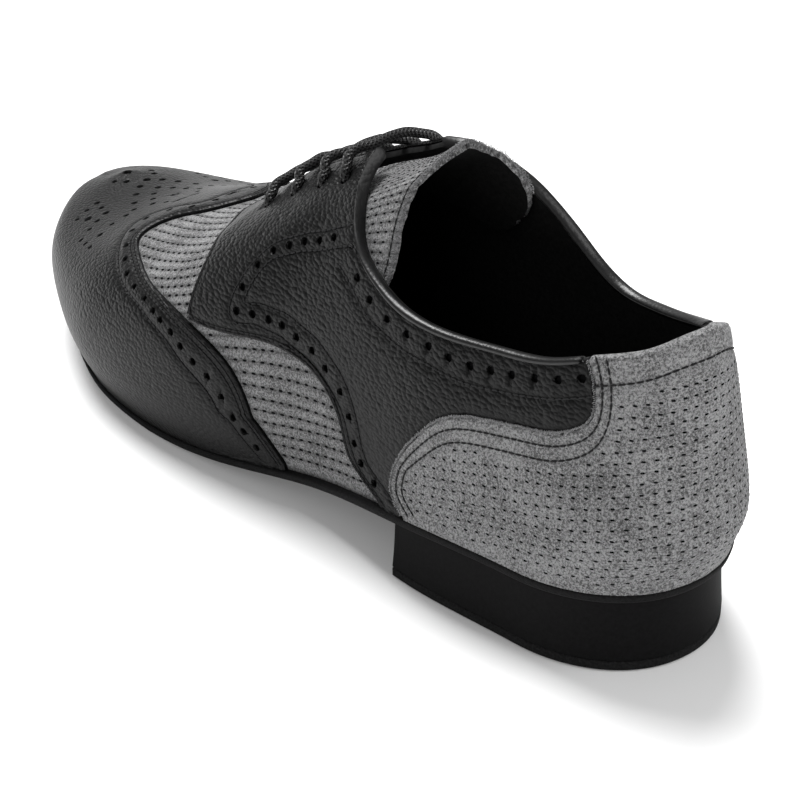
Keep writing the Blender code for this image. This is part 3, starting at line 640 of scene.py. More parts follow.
def sewing():
    """Every line of stitches, under the name of the piece that it holds down."""
    found = {"wing": [], "quarter_left": [], "quarter_right": [], "counter": [], "tongue": []}

    def keep(name, line):
        good = (np.abs(line[:, 1]) < FLAT_HEIGHT) & (line[:, 0] > 0) & (line[:, 0] < FINE_ARC[-1])
        good &= inside(line, OPENING_LOOP) == (name == "tongue")
        if name == "wing":
            good &= inside(line, TOE_LOOP)
        elif name == "counter":
            good &= inside(line, BEHIND)
        elif name == "tongue":
            good &= inside(line, TONGUE)
        else:
            side = SIDES[name[8:]]
            good &= inside(line, quarter_loop(side)) & ~inside(line, BEHIND)
        found[name] += runs(line, good)

    for reach in WING_STITCHES:
        keep("wing", shifted(WING, reach))
    keep("wing", wing_row_line(WING_ROW_STITCH))
    for name, side in SIDES.items():
        quarter = "quarter_" + name
        for reach in ROW_STITCHES:
            keep(quarter, row_line(QUARTER_ROW, side, reach, QUARTER_RUN))
            keep(quarter, row_line(COLLAR_ROW, side, reach, COLLAR_RUN))
        front = np.concatenate([LOWER[side], FRONT[side][1:]])
        keep(quarter, shifted(front, -side * QUARTER_STITCH))
        keep(quarter, shifted(EDGE[side], side * FACING_STITCH)[1:])
        for reach in COUNTER_STITCHES:
            keep("counter", shifted(COUNTER[side], -reach * side))
        keep("counter", shifted(TOP[side], side * TOP_STITCH))
    keep("tongue", shifted(TONGUE, TONGUE_STITCH))
    return found


SEWING = sewing()


def skin_mesh():
    """One triangle mesh of the whole outermost face, with every seam along its edges."""
    lines = [WING, TONGUE]
    for side in SIDES.values():
        lines += [TOP[side], EDGE[side], RIM[side], LOWER[side], FRONT[side], COUNTER[side]]
    rings = EYELET_RINGS + WING_RINGS + QUARTER_RINGS
    closed = [np.concatenate([r, r[:1]]) for r in rings]
    xs = np.linspace(0, FINE_ARC[-1], int(FINE_ARC[-1] / FINE_GRID))
    ys = np.linspace(-FLAT_HEIGHT, FLAT_HEIGHT, 2 * int(FLAT_HEIGHT / FINE_GRID) + 1)
    border = [(x, y) for x in xs for y in (ys[0], ys[-1])]
    border += [(x, y) for x in (xs[0], xs[-1]) for y in ys[1:-1]]
    border = np.array(border)
    grid = np.array([(x + (k % 2) * (xs[1] - xs[0]) / 2, y) for x in xs[1:-2]
                     for k, y in enumerate(ys[1:-1])])
    beside = []
    for line in lines:
        for reach in (-SEAM_STEP * BESIDE_SEAM, SEAM_STEP * BESIDE_SEAM):
            beside.append(clipped(shifted(line, reach)))
    for line in [line for piece in SEWING.values() for line in piece]:
        for reach in (-BESIDE_STITCH, 0, BESIDE_STITCH):
            beside.append(clipped(shifted(smooth_line(line, STITCH_STEP), reach)))
    for r in WING_RINGS + QUARTER_RINGS:
        middle = r.mean(0)
        beside.append(middle + (r - middle) * ROUND_HOLE)
    beside = np.concatenate(beside)
    for cloud, clear in ((grid, FINE_GRID * GRID_CLEAR), (beside, POINT_CLEAR)):
        near = np.min([distance(cloud, line) for line in lines + closed], axis=0)
        cloud[near < clear] = np.nan
    beside = beside[~np.isnan(beside[:, 0])]
    grid = grid[~np.isnan(grid[:, 0])]
    tree = KDTree(len(beside))
    for k, p in enumerate(beside):
        tree.insert((*p, 0), k)
    tree.balance()
    free = [tree.find((*p, 0))[2] >= FINE_GRID * GRID_THIN for p in grid]
    grid = np.concatenate([grid[free], beside])
    ends = np.array([end for line in lines for end in (line[0], line[-1])])
    corner = (np.isin(border[:, 0], (0, FINE_ARC[-1]))) & (np.abs(border[:, 1]) > FLAT_HEIGHT * .999)
    clear = np.min(np.linalg.norm(border[:, None] - ends[None], axis=2), axis=1) > SEAM_STEP * .6
    border = border[clear | corner]
    x, y = border[:, 0], border[:, 1]
    sides = [(y < 1e-9 - FLAT_HEIGHT, x, 1), (x > FINE_ARC[-1] - 1e-9, y, 1),
             (y > FLAT_HEIGHT - 1e-9, x, -1), (x < 1e-9, y, -1)]
    ordered = []
    for choose, key, way in sides:
        ordered += list(border[choose][np.argsort(way * key[choose])])
    points = []
    edges = []

    def add_line(line, loop):
        start = len(points)
        points.extend(Vector(p) for p in line)
        edges.extend((start + i, start + i + 1) for i in range(len(line) - 1))
        if loop:
            edges.append((start + len(line) - 1, start))

    add_line(ordered, True)
    for line in lines:
        add_line(line, False)
    for r in rings:
        add_line(r, True)
    points.extend(Vector(p) for p in grid)
    verts, _, faces, _, _, _ = delaunay_2d_cdt(points, edges, [], 0, 1e-7)
    flat_points = np.array([tuple(v) for v in verts])
    tris = np.array([tuple(f) for f in faces])
    key = {}
    same = np.arange(len(flat_points))
    for i, (px, py) in enumerate(flat_points):
        if px < 1e-6 or px > FINE_ARC[-1] - 1e-6:
            same[i] = key.setdefault((px > .1, round(abs(py), 6)), i)
    centres = flat_points[tris].mean(1)
    tris = same[tris]
    whole = (tris[:, 0] != tris[:, 1]) & (tris[:, 1] != tris[:, 2]) & (tris[:, 2] != tris[:, 0])
    place, climb, side = folded(flat_points)
    return flat_points, last_point(place, climb, side), tris[whole], centres[whole]


FLAT, SKIN, TRIS, CENTRES = skin_mesh()
AT_EDGE = np.abs(FLAT[:, 1]) > FLAT_HEIGHT - 1e-6


def skin_normals():
    """Outward direction at each point, as the mean of the faces round it."""
    a, b, c = (SKIN[TRIS[:, k]] for k in range(3))
    facing = unit(np.cross(b - a, c - a))
    total = np.zeros_like(SKIN)
    for k in range(3):
        p, q, r = (SKIN[TRIS[:, (k + j) % 3]] for j in range(3))
        angle = np.arccos(np.clip((unit(q - p) * unit(r - p)).sum(1), -1, 1))[:, None]
        np.add.at(total, TRIS[:, k], facing * angle)
    total = unit(total)
    turned = ((SKIN - SKIN.mean(0)) * total).sum() < 0
    return (-total if turned else total), turned


NORMALS, TURNED = skin_normals()
if TURNED:
    TRIS = TRIS[:, ::-1]


def in_rings(rings):
    hit = np.zeros(len(CENTRES), bool)
    for r in rings:
        lo, hi = r.min(0), r.max(0)
        near = ((CENTRES > lo) & (CENTRES < hi)).all(1)
        hit[near] |= inside(CENTRES[near], r)
    return hit


# Which pieces cover each triangle
EYELET_HOLE = in_rings(EYELET_RINGS)
WING_HOLE = in_rings(WING_RINGS)
QUARTER_HOLE = in_rings(QUARTER_RINGS)
OPENING = inside(CENTRES, OPENING_LOOP)
IN_COUNTER = inside(CENTRES, BEHIND) & ~OPENING
IN_WING = inside(CENTRES, TOE_LOOP) & ~OPENING
IN_TONGUE = inside(CENTRES, TONGUE)


def in_quarter(side):
    """Triangles of a quarter, with the strip of it that runs up under the binding."""
    strip = inside(CENTRES, strip_loop(side))
    return (strip | inside(CENTRES, quarter_loop(side)) & ~EYELET_HOLE) & ~OPENING & ~IN_COUNTER


QUARTER_LEFT = in_quarter(LEFT)
QUARTER_RIGHT = in_quarter(RIGHT)


def lay(points):
    """Points of the flat pattern laid on the last, their outward directions and ways along."""
    points = np.asarray(points, float)
    small = 2e-5
    low = points - [[small, 0]]
    high = points + [[small, 0]]
    low[:, 0] = low[:, 0].clip(0, FINE_ARC[-1])
    high[:, 0] = high[:, 0].clip(0, FINE_ARC[-1])
    along = last_point(*folded(high)) - last_point(*folded(low))
    across = last_point(*folded(points + [[0, small]])) - last_point(*folded(points - [[0, small]]))
    out = unit(np.cross(along, across))
    return last_point(*folded(points)), out, unit(along)


def standing(points):
    """How far the facings stand up at points of the flat pattern."""
    place, _, side = folded(points)
    near = np.where(side > 0, distance(points, EDGE[LEFT]), distance(points, EDGE[RIGHT]))
    high = np.where(side > 0, np.interp(place, STAND["place"], STAND["left"]),
                    np.interp(place, STAND["place"], STAND["right"]))
    return high * 1e-3 * np.exp(-(near / STAND_REACH) ** 2)


def foldings(points, facing=True):
    """Height of the listed soft folds at points of the flat pattern."""
    total = standing(points) if facing else np.zeros(len(points))
    for place, climb, side, length, width, angle, height in FOLDS:
        centre = flat(place, climb, side)
        turn = math.radians(angle) * side
        run = (points - centre) @ [math.cos(turn), math.sin(turn)]
        off = (points - centre) @ [-math.sin(turn), math.cos(turn)]
        off = off + run ** 2 * FOLD_BOW
        total += height * 1e-3 * np.exp(-(run / length) ** 2 - (off / width) ** 2)
    return total


# Materials

def add(tree, kind, where=(0, 0), **settings):
    """Node of a tree, with its settings and the values of its unlinked sockets."""
    made = tree.nodes.new(kind)
    made.location = where
    for name, value in settings.items():
        if hasattr(made, name):
            setattr(made, name, value)
        else:
            made.inputs[name.replace("_", " ")].default_value = value
    return made


def new_group(name, inputs, outputs):
    """Empty shader group with named inputs (name: default) and outputs (name: socket type)."""
    tree = bpy.data.node_groups.new(name, "ShaderNodeTree")
    tree.interface.new_socket("Vector", in_out="INPUT", socket_type="NodeSocketVector")
    for label, value in inputs.items():
        socket = tree.interface.new_socket(label, in_out="INPUT", socket_type="NodeSocketFloat")
        socket.default_value = value
    for label, kind in outputs.items():
        tree.interface.new_socket(label, in_out="OUTPUT", socket_type="NodeSocket" + kind)
    return tree, add(tree, "NodeGroupInput", (-900, 0)), add(tree, "NodeGroupOutput", (700, 0))


def maths(tree, operation, first, second=None, where=(0, 0)):
    made = add(tree, "ShaderNodeMath", where, operation=operation)
    for socket, value in zip(made.inputs, (first, second)):
        if value is None:
            continue
        if isinstance(value, (int, float)):
            socket.default_value = value
        else:
            tree.links.new(value, socket)
    return made.outputs[0]


def noise(tree, vector, where, **settings):
    made = add(tree, "ShaderNodeTexNoise", where, **settings)
    tree.links.new(vector, made.inputs["Vector"])
    return made.outputs


def ranged(tree, value, low, high, where):
    """A value that runs from 0 to 1, as one that runs from low to high."""
    made = add(tree, "ShaderNodeMapRange", where, To_Min=low, To_Max=high)
    tree.links.new(value, made.inputs["Value"])
    return made.outputs[0]


def relief(tree, height, depth, target, where, strength=1.0):
    """Feeds the normals of a height into a socket."""
    made = add(tree, "ShaderNodeBump", where, Strength=strength, Distance=depth)
    tree.links.new(height, made.inputs["Height"])
    tree.links.new(made.outputs[0], target)
    return made


def row_numbers(tree):
    """Hole and row numbers of a piece, which its UV map carries."""
    rows = add(tree, "ShaderNodeUVMap", (-1100, -300), uv_map="rows")
    split = add(tree, "ShaderNodeSeparateXYZ", (-940, -300))
    tree.links.new(rows.outputs[0], split.inputs[0])
    return split.outputs


def grain_group():
    """Pebbled grain of tumbled leather: cells with creases between them, and fine pores."""
    tree, start, end = new_group("Leather grain", {"Cell size": .0016, "Streak": .5},
                                 {"Height": "Float", "Tone": "Float"})
    link = tree.links.new
    per_metre = maths(tree, "DIVIDE", 1, start.outputs["Cell size"], (-700, -200))
    drawn = add(tree, "ShaderNodeCombineXYZ", (-560, -60), X=1.0)
    long_way = maths(tree, "SUBTRACT", 1, start.outputs["Streak"], (-700, -60))
    link(long_way, drawn.inputs["Y"])
    drawn.inputs["Z"].default_value = .8
    stretched = add(tree, "ShaderNodeVectorMath", (-420, 0), operation="MULTIPLY")
    link(start.outputs["Vector"], stretched.inputs[0])
    link(drawn.outputs[0], stretched.inputs[1])
    wander = noise(tree, start.outputs["Vector"], (-420, 220), Scale=420.0, Detail=2.0)
    moved = add(tree, "ShaderNodeVectorMath", (-240, 120), operation="MULTIPLY_ADD")
    link(wander["Color"], moved.inputs[0])
    moved.inputs[1].default_value = (.0006, .0006, .0006)
    link(stretched.outputs[0], moved.inputs[2])
    cells = add(tree, "ShaderNodeTexVoronoi", (-60, 120), feature="F1")
    link(moved.outputs[0], cells.inputs["Vector"])
    link(per_metre, cells.inputs["Scale"])
    pores = noise(tree, start.outputs["Vector"], (-60, -160), Scale=1500.0, Detail=3.0)
    near = maths(tree, "POWER", cells.outputs["Distance"], 1.6, (100, 120))
    dome = maths(tree, "MULTIPLY", near, -1.0, (160, 120))
    fine = maths(tree, "MULTIPLY", pores[0], .22, (160, -120))
    link(maths(tree, "ADD", dome, fine, (340, 60)), end.inputs["Height"])
    patchy = noise(tree, start.outputs["Vector"], (-60, -380), Scale=45.0, Detail=3.0)
    link(patchy[0], end.inputs["Tone"])


def nap_group():
    """Nap of suede: short fibres that lie both ways, with brushed patches."""
    tree, start, end = new_group("Suede nap", {"Fibre size": .00062, "Patch size": .012},
                                 {"Height": "Float", "Tone": "Float"})
    link = tree.links.new
    found = []
    for label, y, settings in (("Fibre size", 160, {"Detail": 5.0, "Roughness": .85}),
                               ("Patch size", -160, {"Detail": 3.0})):
        made = noise(tree, start.outputs["Vector"], (-400, y), **settings)[0]
        per_metre = maths(tree, "DIVIDE", 1, start.outputs[label], (-600, y))
        link(per_metre, made.node.inputs["Scale"])
        found.append(made)
    fine, wide = found
    link(fine, end.inputs["Height"])
    strong = maths(tree, "MULTIPLY", fine, .88, (-100, 160))
    soft = maths(tree, "MULTIPLY", wide, .12, (-100, -160))
    link(maths(tree, "ADD", strong, soft, (100, 0)), end.inputs["Tone"])


def blank(name):
    made = bpy.data.materials.new(name)
    made.use_nodes = True
    tree = made.node_tree
    shader = tree.nodes["Principled BSDF"]
    place = add(tree, "ShaderNodeTexCoord", (-1100, 0))
    return made, tree, shader, place


def ramp(tree, value, low, high, first, second, where):
    """Colour between two colours as a value runs from low to high."""
    made = add(tree, "ShaderNodeValToRGB", where)
    made.color_ramp.elements[0].position = low
    made.color_ramp.elements[0].color = (*first, 1)
    made.color_ramp.elements[1].position = high
    made.color_ramp.elements[1].color = (*second, 1)
    tree.links.new(value, made.inputs[0])
    return made.outputs[0]


def tinted(colour, factor):
    return tuple(c * factor for c in colour)


def leather_look(name, colour, cell, streak, depth, roughness, gloss):
    made, tree, shader, place = blank(name)
    link = tree.links.new
    group = add(tree, "ShaderNodeGroup", (-800, 0), node_tree=bpy.data.node_groups["Leather grain"])
    group.inputs["Cell size"].default_value = cell
    group.inputs["Streak"].default_value = streak
    link(place.outputs["Object"], group.inputs["Vector"])
    link(ramp(tree, group.outputs["Tone"], .35, .65, tinted(colour, .8), tinted(colour, 1.25),
              (-400, 200)), shader.inputs["Base Color"])
    rough = ranged(tree, group.outputs["Tone"], roughness - .05, roughness + .08, (-400, -60))
    link(rough, shader.inputs["Roughness"])
    relief(tree, group.outputs["Height"], depth, shader.inputs["Normal"], (-400, -300))
    shader.inputs["Specular IOR Level"].default_value = gloss
    return made


NAP_DEPTH = 0.0010
RIB_DEPTH = 0.0016        # of the hollows along rows of pinholes, where ribs is 1
RIB_SHADE = 0.45          # how much darker their colour is painted, as shade in the hollows
RIB_SHARPNESS = 0.4       # exponent that narrows them


def suede_look(name, colour, ribs):
    """Suede with nap and, where ribs is not 0, painted shade in the hollows of its pinhole rows."""
    made, tree, shader, place = blank(name)
    link = tree.links.new
    group = add(tree, "ShaderNodeGroup", (-800, 0), node_tree=bpy.data.node_groups["Suede nap"])
    link(place.outputs["Object"], group.inputs["Vector"])
    tone = ramp(tree, group.outputs["Tone"], .44, .56, tinted(colour, .22), tinted(colour, 1.85),
                (-500, 260))
    turn = maths(tree, "MULTIPLY", row_numbers(tree)["Y"], 2 * math.pi, (-780, -300))
    wave = maths(tree, "COSINE", turn, None, (-620, -300))
    hollow = maths(tree, "MULTIPLY_ADD", wave, -.5, (-460, -300))
    hollow.node.inputs[2].default_value = .5
    narrow = maths(tree, "POWER", hollow, RIB_SHARPNESS, (-300, -300))
    # painted shade: the colour darkens along each row's hollow, by RIB_SHADE
    shade = ranged(tree, narrow, 1 - RIB_SHADE * min(ribs * 2, 1), 1.0, (-140, -120))
    mixed = add(tree, "ShaderNodeMix", (-160, 240), data_type="RGBA", blend_type="MULTIPLY")
    mixed.inputs[0].default_value = 1.0
    link(tone, mixed.inputs[6])
    grey = add(tree, "ShaderNodeCombineColor", (-140, 60))
    for k in range(3):
        link(shade, grey.inputs[k])
    link(grey.outputs[0], mixed.inputs[7])
    link(mixed.outputs[2], shader.inputs["Base Color"])
    fuzz = relief(tree, group.outputs["Height"], NAP_DEPTH, shader.inputs["Normal"], (60, -400))
    relief(tree, narrow, RIB_DEPTH * ribs, fuzz.inputs["Normal"], (-140, -500))
    shader.inputs["Roughness"].default_value = .95
    shader.inputs["Specular IOR Level"].default_value = .15
    shader.inputs["Sheen Weight"].default_value = .15
    shader.inputs["Sheen Roughness"].default_value = .6
    return made


def soft_look(name, colour, scale, depth, roughness, contrast, gloss):
    """Plain matte stuff, such as lining, rubber or thread, with fine unevenness."""
    made, tree, shader, place = blank(name)
    uneven = noise(tree, place.outputs["Object"], (-800, 0), Scale=scale, Detail=4.0,
                   Roughness=.65)[0]
    tone = ramp(tree, uneven, .35, .65, tinted(colour, 1 - contrast),
                tinted(colour, 1 + contrast), (-400, 200))
    rough = ranged(tree, uneven, roughness - .08, min(roughness + .08, 1), (-400, 0))
    tree.links.new(tone, shader.inputs["Base Color"])
    tree.links.new(rough, shader.inputs["Roughness"])
    relief(tree, uneven, depth, shader.inputs["Normal"], (-400, -200), .7)
    shader.inputs["Specular IOR Level"].default_value = gloss
    return made


def cord_look(name, colour, strands):
    """Braid of strands that wind round the cord both ways, with painted shade and highlight."""
    made, tree, shader, _ = blank(name)
    rows = row_numbers(tree)
    around = maths(tree, "MULTIPLY", rows["X"], 2 * math.pi * strands, (-780, -200))
    down = maths(tree, "MULTIPLY", rows["Y"], 2 * math.pi, (-780, -400))
    one = maths(tree, "SINE", maths(tree, "ADD", around, down, (-620, -200)), None, (-460, -200))
    two = maths(tree, "SINE", maths(tree, "SUBTRACT", around, down, (-620, -400)), None,
                (-460, -400))
    weave = maths(tree, "MAXIMUM", one, two, (-300, -300))
    # painted shade in the crevices between strands and painted highlight on their crowns
    tree.links.new(ramp(tree, weave, 0, 1, tinted(colour, .3), tinted(colour, 1.8), (-400, 200)),
                   shader.inputs["Base Color"])
    relief(tree, weave, .00028, shader.inputs["Normal"], (-100, -300))
    shader.inputs["Roughness"].default_value = .45
    shader.inputs["Specular IOR Level"].default_value = .35
    return made


LOOKS = {}

# Plain looks: name, colour or the panel's name for it, noise per metre, depth of the relief,
# roughness, contrast and gloss
SOFT_LOOKS = {
    "fibre":  ("loose suede fibres", "suede", 2500, .0001, .95, .5, .1),
    "lining": ("black lining", "lining", 900, .0001, .9, .4, .1),
    "thread": ("black thread", (.006, .006, .0065), 4000, .0001, .7, .35, .3),
    # painted shade: near black for pinhole beads, floors of punched holes, backs of overlays
    "pit":    ("dark of the pinholes", (.007, .007, .0075), 3000, .0001, .95, .3, .05),
    "edge":   ("dyed sole edge", (.007, .007, .0072), 1500, .0004, .85, .5, .12),
    "heel":   ("covered heel block", (.0045, .0045, .0047), 900, .00008, .7, .3, .07),
    "sole":   ("brushed sole suede", (.012, .012, .0122), 1600, .0004, .95, .5, .1),
}


def make_looks():
    looks = bpy.context.scene.shoe_looks
    grain_group()
    nap_group()
    black = tuple(looks.leather)
    rough = looks.leather_roughness
    LOOKS["leather"] = leather_look("tumbled black leather", black, looks.grain, .45, .00032,
                                    rough, .15)
    LOOKS["cap"] = leather_look("tumbled black cap leather", black, looks.grain * .9, .45, .00022,
                                rough, .15)
    LOOKS["binding"] = leather_look("black binding leather", black, .0009, .1, .00005, .34, .36)
    LOOKS["ribbed"] = suede_look("ribbed grey suede", tuple(looks.suede), .55)
    LOOKS["suede"] = suede_look("punched grey suede", tuple(looks.suede), .07)
    for key, (name, colour, *finish) in SOFT_LOOKS.items():
        if isinstance(colour, str):
            colour = tuple(getattr(looks, colour))
        LOOKS[key] = soft_look(name, colour, *finish)
    LOOKS["cord"] = cord_look("black braided cord", (.006, .006, .0062), 6)


# Pieces

def finish_piece(piece, nodes):
    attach(piece, "root")
    if nodes:
        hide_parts(*nodes)
    return piece


def to_object(name, points, faces, looks, indices=None, uv=None, weld=False):
    """Object from points and faces, with its faces turned outward and smooth."""
    mesh = bpy.data.meshes.new(name)
    mesh.from_pydata([tuple(p) for p in points], [], [tuple(int(i) for i in f) for f in faces])
    for look in looks:
        mesh.materials.append(look)
    if indices is not None:
        mesh.polygons.foreach_set("material_index", np.asarray(indices, np.int32))
    if uv is not None:
        layer = mesh.uv_layers.new(name="rows")
        loops = np.empty(len(mesh.loops), np.int32)
        mesh.loops.foreach_get("vertex_index", loops)
        layer.data.foreach_set("uv", np.asarray(uv, np.float32)[loops].ravel())
    work = bmesh.new()
    work.from_mesh(mesh)
    if weld:
        bmesh.ops.remove_doubles(work, verts=work.verts, dist=1e-6)
        bmesh.ops.dissolve_degenerate(work, edges=work.edges, dist=1e-7)
    bmesh.ops.recalc_face_normals(work, faces=work.faces)
    if work.calc_volume(signed=True) < 0:
        bmesh.ops.reverse_faces(work, faces=work.faces)
    work.to_mesh(mesh)
    work.free()
    mesh.shade_smooth()
    mesh.set_sharp_from_angle(angle=math.radians(SHARP_ANGLE))
    piece = bpy.data.objects.new(name, mesh)
    bpy.context.scene.collection.objects.link(piece)
    return piece


GIRTH = np.linspace(0, 1, 401)
GIRTH_RUN = running(last_point(.5, GIRTH, 1))


def heel_slope(along):
    """How much higher the rows of the counter climb towards the back of the heel."""
    return COUNTER_RISE * (np.sqrt(along ** 2 + COUNTER_BEND ** 2) - COUNTER_BEND)


def rows_of(points, kind):
    """Hole and row numbers of points of the flat pattern, as they run over a suede piece."""
    place, climb, side = folded(points)
    column = points[:, 0] / HOLE_PITCH + .5
    if kind == "counter":
        row = last_point(place, climb, side)[:, 2] + heel_slope(points[:, 0])
    else:
        row = np.interp(climb, GIRTH, GIRTH_RUN)
    return np.stack([column, row / PINHOLES[kind]["pitch"]], -1)


def leather(name, chosen, face, back, looks, kind="vamp", edge=.0005, grooves=(), covered=None,
            fray=0.0, trim=0.0, seed=1, wall=0):
    """Leather piece: triangles of the skin between two depths, with eased edges and grooves."""
    tris = TRIS[chosen]
    used = np.unique(tris)
    number = np.full(len(SKIN), -1)
    number[used] = np.arange(len(used))
    tris = number[tris]
    here = SKIN[used].copy()
    normal = NORMALS[used]
    face = face[used] if isinstance(face, np.ndarray) else np.full(len(used), face)
    back = back[used] if isinstance(back, np.ndarray) else np.full(len(used), back)
    sides = {}
    for a, b, c in tris:
        for p, q in ((a, b), (b, c), (c, a)):
            sides[p, q] = (a + b + c) - p - q
    rim = [(p, q) for p, q in sides if (q, p) not in sides]
    low = AT_EDGE[used]
    ends = sorted({p for pair in rim for p in pair if not (low[pair[0]] and low[pair[1]])})
    tree = KDTree(len(ends))
    for k, p in enumerate(ends):
        tree.insert(here[p], k)
    tree.balance()
    reach = np.array([tree.find(p)[2] for p in here]) if ends else np.full(len(here), 1.0)
    drop = np.where(reach < edge, edge - np.sqrt((edge ** 2 - (edge - reach.clip(0, edge)) ** 2)
                                                 .clip(0)), 0)
    fold = foldings(FLAT[used], kind != "tongue")
    height = -drop + fold
    for line, depth, width in grooves:
        near = np.flatnonzero((FLAT[used] > line.min(0) - GROOVE_REACH).all(1)
                              & (FLAT[used] < line.max(0) + GROOVE_REACH).all(1))
        height[near] -= depth * np.exp(-(distance(FLAT[used][near], line) / width) ** 2)
    inward = np.zeros_like(here)
    for p, q in rim:
        way = here[q] - here[p]
        for end in (p, q):
            step = unit(np.cross(normal[end], way))
            toward = here[sides[p, q]] - here[p]
            inward[end] += step if step @ toward > 0 else -step
    length = np.linalg.norm(inward, axis=1)
    moved = length > SURE_WAY
    chance = np.random.default_rng(seed).normal(0, 1, len(here))
    here[moved] += (inward[moved] / length[moved, None]
                    * (trim + fray * np.abs(chance[moved]))[:, None])
    outer = here + normal * (face + height)[:, None]
    inner = here + normal * (back + fold)[:, None]
    for layer in (outer, inner):
        layer[low, 2] = SKIN[used][low, 2] - EDGE_DROP
    count = len(used)
    faces = [tuple(t) for t in tris] + [tuple(t[::-1] + count) for t in tris]
    faces += [(q, p, p + count, q + count) for p, q in rim]
    index = np.zeros(len(faces), int)
    if covered is not None:
        index[:len(tris)] = covered[chosen]
    index[len(tris):2 * len(tris)] = 1
    index[2 * len(tris):] = wall
    uv = rows_of(FLAT[used], kind)
    return to_object(name, np.concatenate([outer, inner]), faces, looks, index,
                     np.concatenate([uv, uv]))


# Geometry Nodes

def geometry_tree(name, sockets):
    tree = bpy.data.node_groups.new(name, "GeometryNodeTree")
    tree.interface.new_socket("Geometry", in_out="INPUT", socket_type="NodeSocketGeometry")
    for label, (kind, value) in sockets.items():
        socket = tree.interface.new_socket(label, in_out="INPUT", socket_type="NodeSocket" + kind)
        if value is not None:
            socket.default_value = value
    tree.interface.new_socket("Geometry", in_out="OUTPUT", socket_type="NodeSocketGeometry")
    return tree, add(tree, "NodeGroupInput", (-900, 0)), add(tree, "NodeGroupOutput", (900, 0))


def beads_on_points(tree, start, end, points, primary, around, along):
    """Ends a tree: a small bead on every point, turned along it and out of the leather."""
    link = tree.links.new
    out = add(tree, "GeometryNodeInputNamedAttribute", (-500, -300), data_type="FLOAT_VECTOR")
    out.inputs["Name"].default_value = "out"
    turn = add(tree, "FunctionNodeAxesToRotation", (-200, -200), primary_axis="X",
               secondary_axis="Z")
    link(primary, turn.inputs["Primary Axis"])
    link(out.outputs["Attribute"], turn.inputs["Secondary Axis"])
    bead = add(tree, "GeometryNodeMeshUVSphere", (-200, 100), Segments=around, Rings=along,
               Radius=1.0)
    size = add(tree, "ShaderNodeCombineXYZ", (-200, -420))
    for axis, label in zip("XYZ", ("Length", "Width", "Height")):
        link(start.outputs[label], size.inputs[axis])
    placed = add(tree, "GeometryNodeInstanceOnPoints", (100, 0))
    link(points, placed.inputs["Points"])
    link(bead.outputs["Mesh"], placed.inputs["Instance"])
    link(turn.outputs[0], placed.inputs["Rotation"])
    link(size.outputs[0], placed.inputs["Scale"])
    real = add(tree, "GeometryNodeRealizeInstances", (320, 0))
    link(placed.outputs[0], real.inputs[0])
    smooth = add(tree, "GeometryNodeSetShadeSmooth", (500, 0))
    link(real.outputs[0], smooth.inputs[0])
    look = add(tree, "GeometryNodeSetMaterial", (680, 0))
    link(smooth.outputs[0], look.inputs[0])
    link(start.outputs["Material"], look.inputs["Material"])
    link(look.outputs[0], end.inputs[0])


BEAD_SOCKETS = {"Length": ("Float", .001), "Width": ("Float", .0003), "Height": ("Float", .0002),
                "Material": ("Material", None)}


def stitch_tree():
    """Stitches of one length along every line of the input."""
    tree, start, end = geometry_tree("Stitches along lines",
                                     {"Pitch": ("Float", .0024), **BEAD_SOCKETS})
    link = tree.links.new
    line = add(tree, "GeometryNodeMeshToCurve", (-700, 200))
    link(start.outputs["Geometry"], line.inputs[0])
    even_line = add(tree, "GeometryNodeResampleCurve", (-500, 200), mode="LENGTH")
    link(line.outputs[0], even_line.inputs["Curve"])
    link(start.outputs["Pitch"], even_line.inputs["Length"])
    way = add(tree, "GeometryNodeInputTangent", (-500, -80))
    beads_on_points(tree, start, end, even_line.outputs[0], way.outputs[0], 6, 5)
    return tree


def pinhole_tree():
    """Pinholes at every point of the input."""
    tree, start, end = geometry_tree("Pinholes at points", BEAD_SOCKETS)
    along = add(tree, "GeometryNodeInputNamedAttribute", (-500, -80), data_type="FLOAT_VECTOR")
    along.inputs["Name"].default_value = "along"
    points = add(tree, "GeometryNodeMeshToPoints", (-500, 200))
    tree.links.new(start.outputs["Geometry"], points.inputs[0])
    beads_on_points(tree, start, end, points.outputs[0], along.outputs["Attribute"], 6, 4)
    return tree


def grown(name, points, edges, vectors, tree, values):
    """Plain mesh that a tree of nodes grows on points and lines."""
    mesh = bpy.data.meshes.new(name)
    mesh.from_pydata([tuple(p) for p in points], edges, [])
    for label, value in vectors.items():
        layer = mesh.attributes.new(label, "FLOAT_VECTOR", "POINT")
        layer.data.foreach_set("vector", np.asarray(value, np.float32).ravel())
    seed = bpy.data.objects.new(name + "_seed", mesh)
    bpy.context.scene.collection.objects.link(seed)
    modifier = seed.modifiers.new("Grow", "NODES")
    modifier.node_group = tree
    for item in tree.interface.items_tree:
        if item.in_out == "INPUT" and item.name in values:
            modifier[item.identifier] = values[item.name]
    seed.update_tag()
    graph = bpy.context.evaluated_depsgraph_get()
    made = bpy.data.meshes.new_from_object(seed.evaluated_get(graph))
    made.name = name
    seed.modifiers.remove(modifier)
    bpy.data.objects.remove(seed, do_unlink=True)
    bpy.data.meshes.remove(mesh)
    piece = bpy.data.objects.new(name, made)
    bpy.context.scene.collection.objects.link(piece)
    return piece


def ring_solid(name, places, layers, looks):
    """Solid across the foot from rings: each layer gives a height and a margin at a place."""
    points = []
    count = len(places)
    for height, margin in layers:
        for side in (LEFT, RIGHT):
            for place in places:
                point = edge_outline(place, side, margin)
                point[2] = height(place)
                points.append(point)
    faces = []
    for k in range(len(layers) - 1):
        for side in range(2):
            for i in range(count - 1):
                a = k * 2 * count + side * count + i
                faces.append((a, a + 1, a + 1 + 2 * count, a + 2 * count))
        for i in (0, count - 1):
            a = k * 2 * count + i
            faces.append((a, a + count, a + 3 * count, a + 2 * count))
    for k in (0, len(layers) - 1):
        for i in range(count - 1):
            a = k * 2 * count + i
            faces.append((a, a + 1, a + 1 + count, a + count))
    return to_object(name, points, faces, looks, weld=True)


